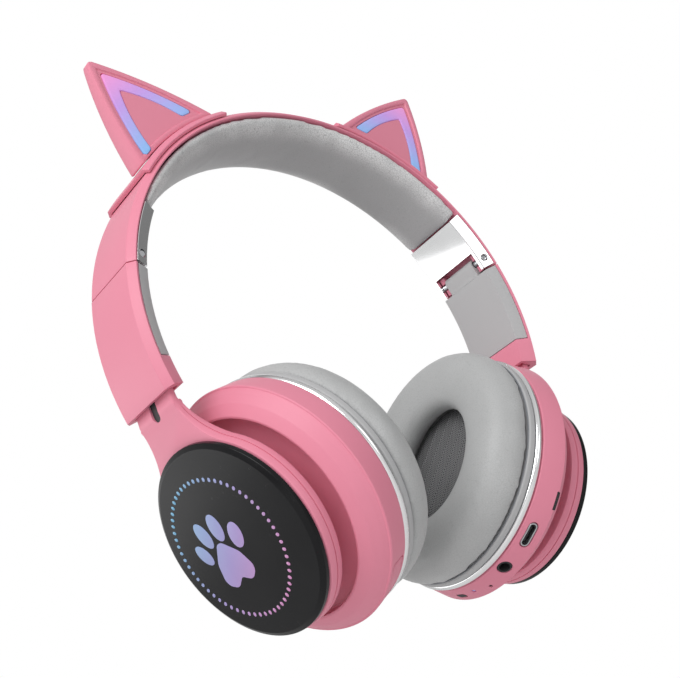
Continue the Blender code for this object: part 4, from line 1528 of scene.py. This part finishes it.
# ---- cups --------------------------------------------------------------------------------------
@dataclass
class Cup:
    """One ear cup: shell, bright ring, satin ring, speaker mesh and stuffed cushion."""

    model: Model
    side: Side
    rim_r: float = 39.4 * MM
    ridge_r: float = 40.4 * MM
    ridge_at: float = 8.0 * MM

    def rim_at(self, along: Array) -> Array:
        """Radius of the rim wall, which widens evenly from the rim to the ridge."""
        return self.rim_r + (self.ridge_r - self.rim_r) * along / self.ridge_at

    def on_rim(self, turn: float, along: float) -> Callable[[Array, Array, Array], Array]:
        """A map from (round the rim, along the axis, out of the rim) to places, about one point.

        Args:
            turn: the point's turn, in degrees.
            along: its place on the axis.

        Returns:
            The map.
        """
        cup = self.model.cups[self.side]

        def lift(u: Array, v: Array, depth: Array) -> Array:
            """A place on the rim."""
            place = along + v
            return cup.turned(self.rim_at(place) + depth, turn + np.degrees(u / self.rim_r), place)

        return lift

    def window(self, turn: float, along: float, size: tuple[float, float], corner: float,
               depth: float) -> bpy.types.Object:
        """A cutter for a window in the rim.

        Args:
            turn: the window's turn, in degrees.
            along: its place on the axis.
            size: its length and width.
            corner: the radius of its corners.
            depth: how deep it cuts.

        Returns:
            The cutter.
        """
        a, b = size[0] / 2, size[1] / 2
        outline = rounded([(-a, -b), (a, -b), (a, b), (-a, b)], corner, 6)
        outline = denser(outline, 1.2 * MM)
        profile = [(-depth, 0.0), (2 * MM, 0.0)]
        return pressed("window", outline, self.on_rim(turn, along), profile, self.model.finishes["pink"])

    def shell(self) -> bpy.types.Object:
        """The shell's turned profile: rim wall, a fine step, rounded cone, recess and inside."""
        corners = [
            (39.4, 0.0), (40.4, 7.9), (40.2, 8.25), (39.75, 8.3), (38.7, 9.7), (36.6, 11.9),
            (33.4, 14.0), (32.6, 14.0), (32.6, 10.0), (12.6, 10.0), (12.6, 16.2), (10.0, 16.2),
            (10.0, 8.0), (35.5, 8.0), (37.6, 6.5), (37.6, 0.0),
        ]
        radii = [0.3, 0.15, 0.1, 0.2, 1.0, 2.0, 0.5, 0.3, 0.4, 0.4, 0.4, 0.4, 0.3, 0.3, 0.3, 0.2]
        profile = rounded(np.array(corners) * MM, np.array(radii) * MM, 4)
        cup = self.model.cups[self.side]
        return spun(f"cup_{self.side.tag}", cup, profile, self.model.finishes["pink"], 160)

    def make(self) -> None:
        """Makes every piece of the cup that both sides share, and finishes the hidden ones."""
        cup, tag = self.model.cups[self.side], self.side.tag
        finishes, give = self.model.finishes, self.model.give
        shell = carve(self.shell(), self.windows())
        give(shell, "pink", f"cup_shell_{tag}")
        bulge = np.radians(np.linspace(-62.0, 62.0, 14))
        outer = np.stack([38.1 + 1.4 * np.cos(bulge), -1.5 - 1.36 * np.sin(bulge)], axis=-1) * MM
        ring = np.vstack([outer, np.array([(36.0, -2.7), (36.0, -0.3)]) * MM])
        give(spun(f"bright_ring_{tag}", cup, ring, finishes["chrome"], 160), "chrome", f"trim_ring_{tag}")
        plate = rounded(
            np.array([(39.0, -3.0), (39.0, -5.3), (17.0, -5.3), (17.0, -3.0)]) * MM,
            np.array([0.45, 0.6, 0.2, 0.2]) * MM,
        )
        give(spun(f"satin_ring_{tag}", cup, plate, finishes["grey"], 160), "grey", f"baffle_{tag}")
        self.model.keep("steel", f"driver_{tag}", *[f"baffle_screw_{tag}_{k}" for k in (1, 2, 3)])
        self.speaker_mesh()
        self.cushion()
        self.fittings()

    def speaker_mesh(self) -> None:
        """The pleated mesh over the driver: narrow ridges, each a bell curve across its own line."""
        cup, tag = self.model.cups[self.side], self.side.tag
        radius = np.linspace(0.4, 22.2, 90)[:, None] * MM
        turn = circle(180)[None, :]
        a = np.radians(turn)
        u, y = -radius * np.cos(a), -radius * np.sin(a)
        across = u * 0.62 + y * 0.78
        line = np.abs((across / (4.6 * MM)) % 1.0 - 0.5) * 4.6 * MM
        pleat = np.exp(-((line / (0.45 * MM)) ** 2))
        dome = 1.0 - (radius / (22.4 * MM)) ** 2
        along = -6.35 * MM - 0.35 * MM * dome - 0.4 * MM * pleat * np.clip(dome * 4.0, 0.0, 1.0)
        front = cup.place(u, y, along)
        back = cup.turned(np.array([[22.2 * MM], [0.4 * MM]]), turn, np.array([[-5.7 * MM], [-5.7 * MM]]))
        rings = np.concatenate([front, back])
        thing = tube(f"speaker_mesh_{tag}", rings, Ends.POLE, self.model.finishes["mesh"])
        places = read_points(thing)
        loops = np.empty(len(thing.data.loops), dtype=np.int32)
        thing.data.loops.foreach_get("vertex_index", loops)
        flat = np.stack([places @ cup.up, places[:, 1]], axis=-1) / (0.75 * MM)
        layer = thing.data.uv_layers.new(name="weave")
        layer.data.foreach_set("uv", flat[loops].astype(np.float32).reshape(-1))
        self.model.give(thing, "mesh", f"speaker_cloth_{tag}")

    def cushion(self) -> None:
        """The stuffed ring, held where it meets the satin ring, with a fine piping at its root."""
        cup, tag, finishes = self.model.cups[self.side], self.side.tag, self.model.finishes
        corners = [
            (36.8, -5.6), (38.9, -5.7), (39.3, -10.5), (37.9, -14.9), (35.0, -17.6),
            (30.0, -18.7), (25.0, -18.3), (21.2, -16.9), (19.1, -14.2), (19.0, -11.0),
            (20.4, -8.6), (22.9, -7.6), (22.9, -5.6),
        ]
        profile = rounded(np.array(corners) * MM, np.array([0.2, 0.5] + [3.0] * 9 + [0.6, 0.2]) * MM, 4)
        ring = spun(f"cushion_{tag}", cup, profile, finishes["cushion"], 160)

        def held(places: Array) -> Array:
            """1 where the ring is sewn down, 0 where it is free."""
            along = (places - cup.centre) @ cup.out
            return np.clip((along + 7.6 * MM) / (0.8 * MM), 0.0, 1.0)

        inflate(ring, 1.5 * MM, 0.7 * MM, held)
        # Painted light: run rises from the face toward the root, where the cushion turns a lighter grey that
        # stands in for light on its side band.
        along = (read_points(ring) - cup.centre) @ cup.out
        paint_run(ring, smoothstep((along + 16.0 * MM) / (6.0 * MM)))
        self.model.give(ring, "cushion", f"ear_cushion_{tag}")
        turn = np.radians(circle(40))
        bead = np.stack([38.3 + 0.3 * np.cos(turn), -5.45 + 0.14 * np.sin(turn)], axis=-1) * MM
        piping = spun(f"cushion_piping_{tag}", cup, bead[::2], finishes["cell"], 160)
        self.model.give(piping, "dark", body=f"cup_{tag}")

    def windows(self) -> list[bpy.types.Object]:
        """The openings of this cup's shell."""
        return []

    def fittings(self) -> None:
        """What sits in those openings."""


@dataclass
class SocketCup(Cup):
    """The right cup, with the charging socket, audio jack, card slot, lamp, microphone and light key."""

    port: tuple[float, float] = (39.0, 3.8 * MM)
    jack: tuple[float, float] = (19.5, 3.3 * MM)
    card: tuple[float, float] = (57.4, 8.1 * MM)
    light_key: tuple[float, float] = (-14.5, 4.65 * MM)

    def windows(self) -> list[bpy.types.Object]:
        """Every opening in the rim."""
        cut = [
            self.window(*self.port, (8.9 * MM, 3.7 * MM), 1.8 * MM, 6 * MM),
            self.window(*self.jack, (5.0 * MM, 5.0 * MM), 2.49 * MM, 6 * MM),
            self.window(*self.card, (5.9 * MM, 1.5 * MM), 0.3 * MM, 6 * MM),
            self.window(*self.light_key, (4.6 * MM, 2.5 * MM), 1.1 * MM, 6 * MM),
        ]
        for turn, along, radius in ((5.4, 5.4 * MM, 0.7 * MM), (-4.0, 3.8 * MM, 0.8 * MM)):
            cut.append(self.window(turn, along, (2 * radius, 2 * radius), radius * 0.99, 6 * MM))
        return cut

    def fittings(self) -> None:
        """The sockets, the lamp, the microphone and the key."""
        model, give = self.model, self.model.give
        steel, dark = model.finishes["steel"], model.finishes["dark"]

        def oval(long: float, wide: float, corner: float) -> Array:
            """A rounded rectangle about the origin."""
            a, b = long / 2, wide / 2
            return rounded([(-a, -b), (a, -b), (a, b), (-a, b)], corner, 7)

        steps = [(-6 * MM, 0.0), (-0.35 * MM, 0.0), (-0.15 * MM, 0.15 * MM), (-0.15 * MM, 0.4 * MM)]
        outline = denser(oval(8.3 * MM, 3.1 * MM, 1.5 * MM), MM)
        port = pressed("charging_socket", outline, self.on_rim(*self.port), steps, steel)
        mouth = pressed("mouth", denser(oval(7.3 * MM, 2.1 * MM, 1.0 * MM), MM), self.on_rim(*self.port),
                        [(-5 * MM, 0.0), (MM, 0.0)], steel)
        carve(port, [mouth])
        steps = [(-5.1 * MM, 0.0), (-1.1 * MM, 0.0), (-1.0 * MM, 0.1 * MM)]
        outline = denser(oval(5.6 * MM, 0.7 * MM, 0.3 * MM), MM)
        tongue = pressed("charging_tongue", outline, self.on_rim(*self.port), steps, dark)
        give(port, "steel", "charging_port")
        give(tongue, "dark", body="cup_R")
        jack = pressed("jack_barrel", oval(4.7 * MM, 4.7 * MM, 2.34 * MM), self.on_rim(*self.jack),
                       [(-9 * MM, 0.0), (-0.3 * MM, 0.0), (-0.1 * MM, 0.2 * MM), (-0.1 * MM, 0.3 * MM)], dark)
        bore = pressed("bore", oval(3.5 * MM, 3.5 * MM, 1.74 * MM), self.on_rim(*self.jack),
                       [(-8 * MM, 0.0), (MM, 0.0)], dark)
        give(carve(jack, [bore]), "dark", "audio_jack")
        steps = [(-5.4 * MM, 0.0), (-0.5 * MM, 0.0), (-0.4 * MM, 0.1 * MM)]
        outline = denser(oval(5.7 * MM, 1.3 * MM, 0.25 * MM), MM)
        card = pressed("card_holder", outline, self.on_rim(*self.card), steps, dark)
        give(card, "dark", "card_slot")
        rounds = (("microphone", 5.4, 5.4, 0.62, "dark"), ("status_light", -4.0, 3.8, 0.72, "light"))
        for name, turn, along, radius, slot in rounds:
            outline = oval(2 * radius * MM, 2 * radius * MM, radius * 0.99 * MM)
            steps = [(-4 * MM, 0.0), (-0.5 * MM, 0.0), (-0.35 * MM, 0.15 * MM)]
            lift = self.on_rim(turn, along * MM)
            body = pressed(f"{name}_lens", outline, lift, steps, model.finishes[slot])
            if slot == "light":
                paint_run(body, np.full(len(body.data.vertices), 0.8))
            give(body, slot, name)
        outline = denser(oval(4.0 * MM, 1.9 * MM, 0.9 * MM), 0.8 * MM)
        steps = [(-2.5 * MM, 0.0), (-0.15 * MM, 0.0), (0.05 * MM, 0.2 * MM), (0.08 * MM, 0.5 * MM)]
        key = pressed("light_button", outline, self.on_rim(*self.light_key), steps, dark)
        give(key, "dark", "key_light")
        model.keep("board", "main_board")


@dataclass
class KeyCup(Cup):
    """The left cup, with three flush keys along its rim, a battery and the key board."""

    first: float = -12.0
    pitch: float = 17.3
    sweep: float = 16.3

    def windows(self) -> list[bpy.types.Object]:
        """One long window for the keys."""
        middle, width = 13.5, math.radians(52.0) * self.rim_r
        return [self.window(middle, 4.1 * MM, (width, 6.0 * MM), 0.9 * MM, 5.5 * MM)]

    def fittings(self) -> None:
        """The keys and what is behind them."""
        for number, name in enumerate(("key_volume_down", "key_power", "key_volume_up")):
            turn = self.first + number * self.pitch + self.sweep / 2
            a, b = math.radians(self.sweep) * self.rim_r / 2, 2.75 * MM
            outline = denser(rounded([(-a, -b), (a, -b), (a, b), (-a, b)], 0.7 * MM, 5), MM)
            profile = [(-2.4 * MM, 0.0), (-0.12 * MM, 0.0), (0.0, 0.06 * MM),
                       (0.04 * MM, 0.25 * MM), (0.04 * MM, MM)]
            pink = self.model.finishes["pink"]
            thing = pressed(f"{name}_button", outline, self.on_rim(turn, 4.1 * MM), profile, pink)
            self.model.give(thing, "pink", name)
        self.model.keep("cell", "battery")
        self.model.keep("board", "key_board")


def denser(outline: Array, step: float) -> Array:
    """Adds points to a closed outline's long edges, so that it can follow a curved surface.

    Args:
        outline: the closed outline.
        step: about how far apart the points stand.

    Returns:
        The denser outline.
    """
    points = []
    for a, b in zip(outline, np.roll(outline, -1, axis=0)):
        count = max(1, int(np.linalg.norm(b - a) / step))
        points.append(a + (b - a) * (np.arange(count) / count)[:, None])
    return np.vstack(points)


# ---- studio ------------------------------------------------------------------------------------
@dataclass(frozen=True)
class Studio:
    """Floor, sky, lights and camera.

    Attributes:
        target: the point that the camera looks at.
        distance: how far away it stands.
        yaw: degrees from +Y toward +X.
        pitch: degrees above the horizon that it looks.
        roll: degrees that its right side tips down.
        lens: focal length in mm on a 36 mm sensor.
        floor: height of the floor.
        heights: how bright the surround is at each height of a unit direction, -1 to 1.
        dark_way: unit direction of the surround's dark side.
    """

    target: tuple[float, float, float] = (7.886 * MM, 5.542 * MM, 95.09 * MM)
    distance: float = 0.430
    yaw: float = 42.404
    pitch: float = 19.754
    roll: float = 19.496
    lens: float = 67.37
    floor: float = -0.17
    heights: tuple[tuple[float, float], ...] = (
        (-1.0, 0.25), (-0.12, 0.36), (0.0, 0.66), (0.5, 0.66), (1.0, 0.52),
    )
    dark_way: tuple[float, float, float] = (0.95, -0.26, 0.17)

    def axes(self) -> tuple[Vector, Vector, Vector]:
        """The camera's right, up and forward."""
        yaw, pitch, roll = (math.radians(v) for v in (self.yaw, self.pitch, self.roll))
        forward = Vector((math.sin(yaw) * math.cos(pitch), math.cos(yaw) * math.cos(pitch), math.sin(pitch)))
        level = Vector((math.cos(yaw), -math.sin(yaw), 0.0))
        upright = level.cross(forward)
        right = level * math.cos(roll) - upright * math.sin(roll)
        return right, right.cross(forward), forward

    def camera(self) -> None:
        """The scene's camera."""
        right, up, forward = self.axes()
        lens = bpy.data.cameras.new("camera")
        lens.lens, lens.sensor_width = self.lens, 36.0
        lens.clip_start, lens.clip_end = 0.01, 30.0
        camera = bpy.data.objects.new("camera", lens)
        bpy.context.scene.collection.objects.link(camera)
        camera.matrix_world = Matrix((right, up, -forward)).transposed().to_4x4()
        camera.location = Vector(self.target) - forward * self.distance
        bpy.context.scene.camera = camera

    def lamp(self, name: str, offset: tuple[float, float, float], size: tuple[float, float],
             power: float, diffuse: bool = True) -> None:
        """A soft rectangular lamp that faces the target, at an offset from it."""
        light = bpy.data.lights.new(name, "AREA")
        light.shape, light.energy = "RECTANGLE", power
        light.size, light.size_y = size
        lamp = bpy.data.objects.new(name, light)
        bpy.context.scene.collection.objects.link(lamp)
        lamp.location = Vector(self.target) + Vector(offset)
        lamp.rotation_mode = "QUATERNION"
        lamp.rotation_quaternion = Vector(offset).to_track_quat("Z", "Y")
        lamp.visible_camera = False
        lamp.visible_diffuse = diffuse

    def sky(self) -> None:
        """A white surround ahead of the camera, softer elsewhere, with a dark side that chrome can show.

        The level is the larger of a glow about the camera's own direction and a ramp over the
        height; the ramp is darkened about one direction on the right.
        """
        world = bpy.data.worlds.new("surround")
        bpy.context.scene.world = world
        world.use_nodes = True
        tree = Tree(world.node_tree)
        way = tree.add("TexCoord").outputs["Generated"]
        height = tree.add("SeparateXYZ", {0: way}).outputs["Z"]
        ramp = tree.add("ValToRGB", {"Fac": tree.span(height, -1.0, 1.0)})
        stops = ramp.color_ramp.elements
        while len(stops) < len(self.heights):
            stops.new(0.5)
        for stop, (place, level) in zip(stops, self.heights):
            stop.position, stop.color = (place + 1.0) / 2.0, (level, level, level, 1.0)
        forward = self.axes()[2]
        ahead = tree.add("VectorMath", {0: way, 1: tuple(forward)}, operation="DOT_PRODUCT").outputs["Value"]
        aside = tree.add("VectorMath", {0: way, 1: self.dark_way}, operation="DOT_PRODUCT").outputs["Value"]
        level = tree.math("MULTIPLY", ramp.outputs["Color"], tree.span(aside, 0.78, 0.95, 1.0, 0.3))
        level = tree.math("MAXIMUM", level, tree.span(ahead, 0.82, 0.92))
        back = world.node_tree.nodes["Background"]
        tree.put(back.inputs["Color"], level)
        back.inputs["Strength"].default_value = 1.0

    def ground(self) -> None:
        """A plain pale floor."""
        material, tree, shader = blank("floor")
        place = tree.add("TexCoord").outputs["Object"]
        paper = tree.mix(tree.noise(place, 6.0), (0.80, 0.80, 0.80), (0.77, 0.77, 0.77))
        tree.put(shader["Base Color"], paper)
        tree.put(shader["Roughness"], tree.span(tree.noise(place, 30.0), 0.0, 1.0, 0.75, 0.85))
        half = 2.5
        square = ((-half, -half), (half, -half), (half, half), (-half, half))
        corners = [(x, y, self.floor) for x, y in square]
        make_mesh("floor", corners, [[0, 1, 2, 3]], material)

    def build(self) -> None:
        """Sets everything up."""
        self.ground()
        self.sky()
        self.camera()
        self.lamp("key", (-0.78, -0.44, 0.46), (0.7, 0.7), 5.8)
        self.lamp("front", (0.05, -0.95, 0.05), (0.4, 0.4), 0.7, False)
        self.lamp("panel", (-0.43, 0.465, -0.015), (0.6, 0.34), 0.85, False)
        view = bpy.context.scene.view_settings
        view.view_transform, view.look = "Standard", "None"


def main() -> None:
    """Builds the whole scene round the frame."""
    logging.basicConfig(level=logging.INFO, format="%(name)s: %(message)s")
    for thing in list(bpy.data.objects):
        bpy.data.objects.remove(thing)
    model = Model.start()
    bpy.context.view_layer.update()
    studio = Studio()
    studio.build()
    Headband(model).make()
    for side in Side:
        for part in (Ear, Arm, Yoke):
            part(model, side).make()
            LOG.info("%s %s is in place", part.__name__, side.tag)
    SocketCup(model, Side.RIGHT).make()
    KeyCup(model, Side.LEFT).make()
    LOG.info("%d pieces placed", model.made)


if __name__ == "__main__":
    main()
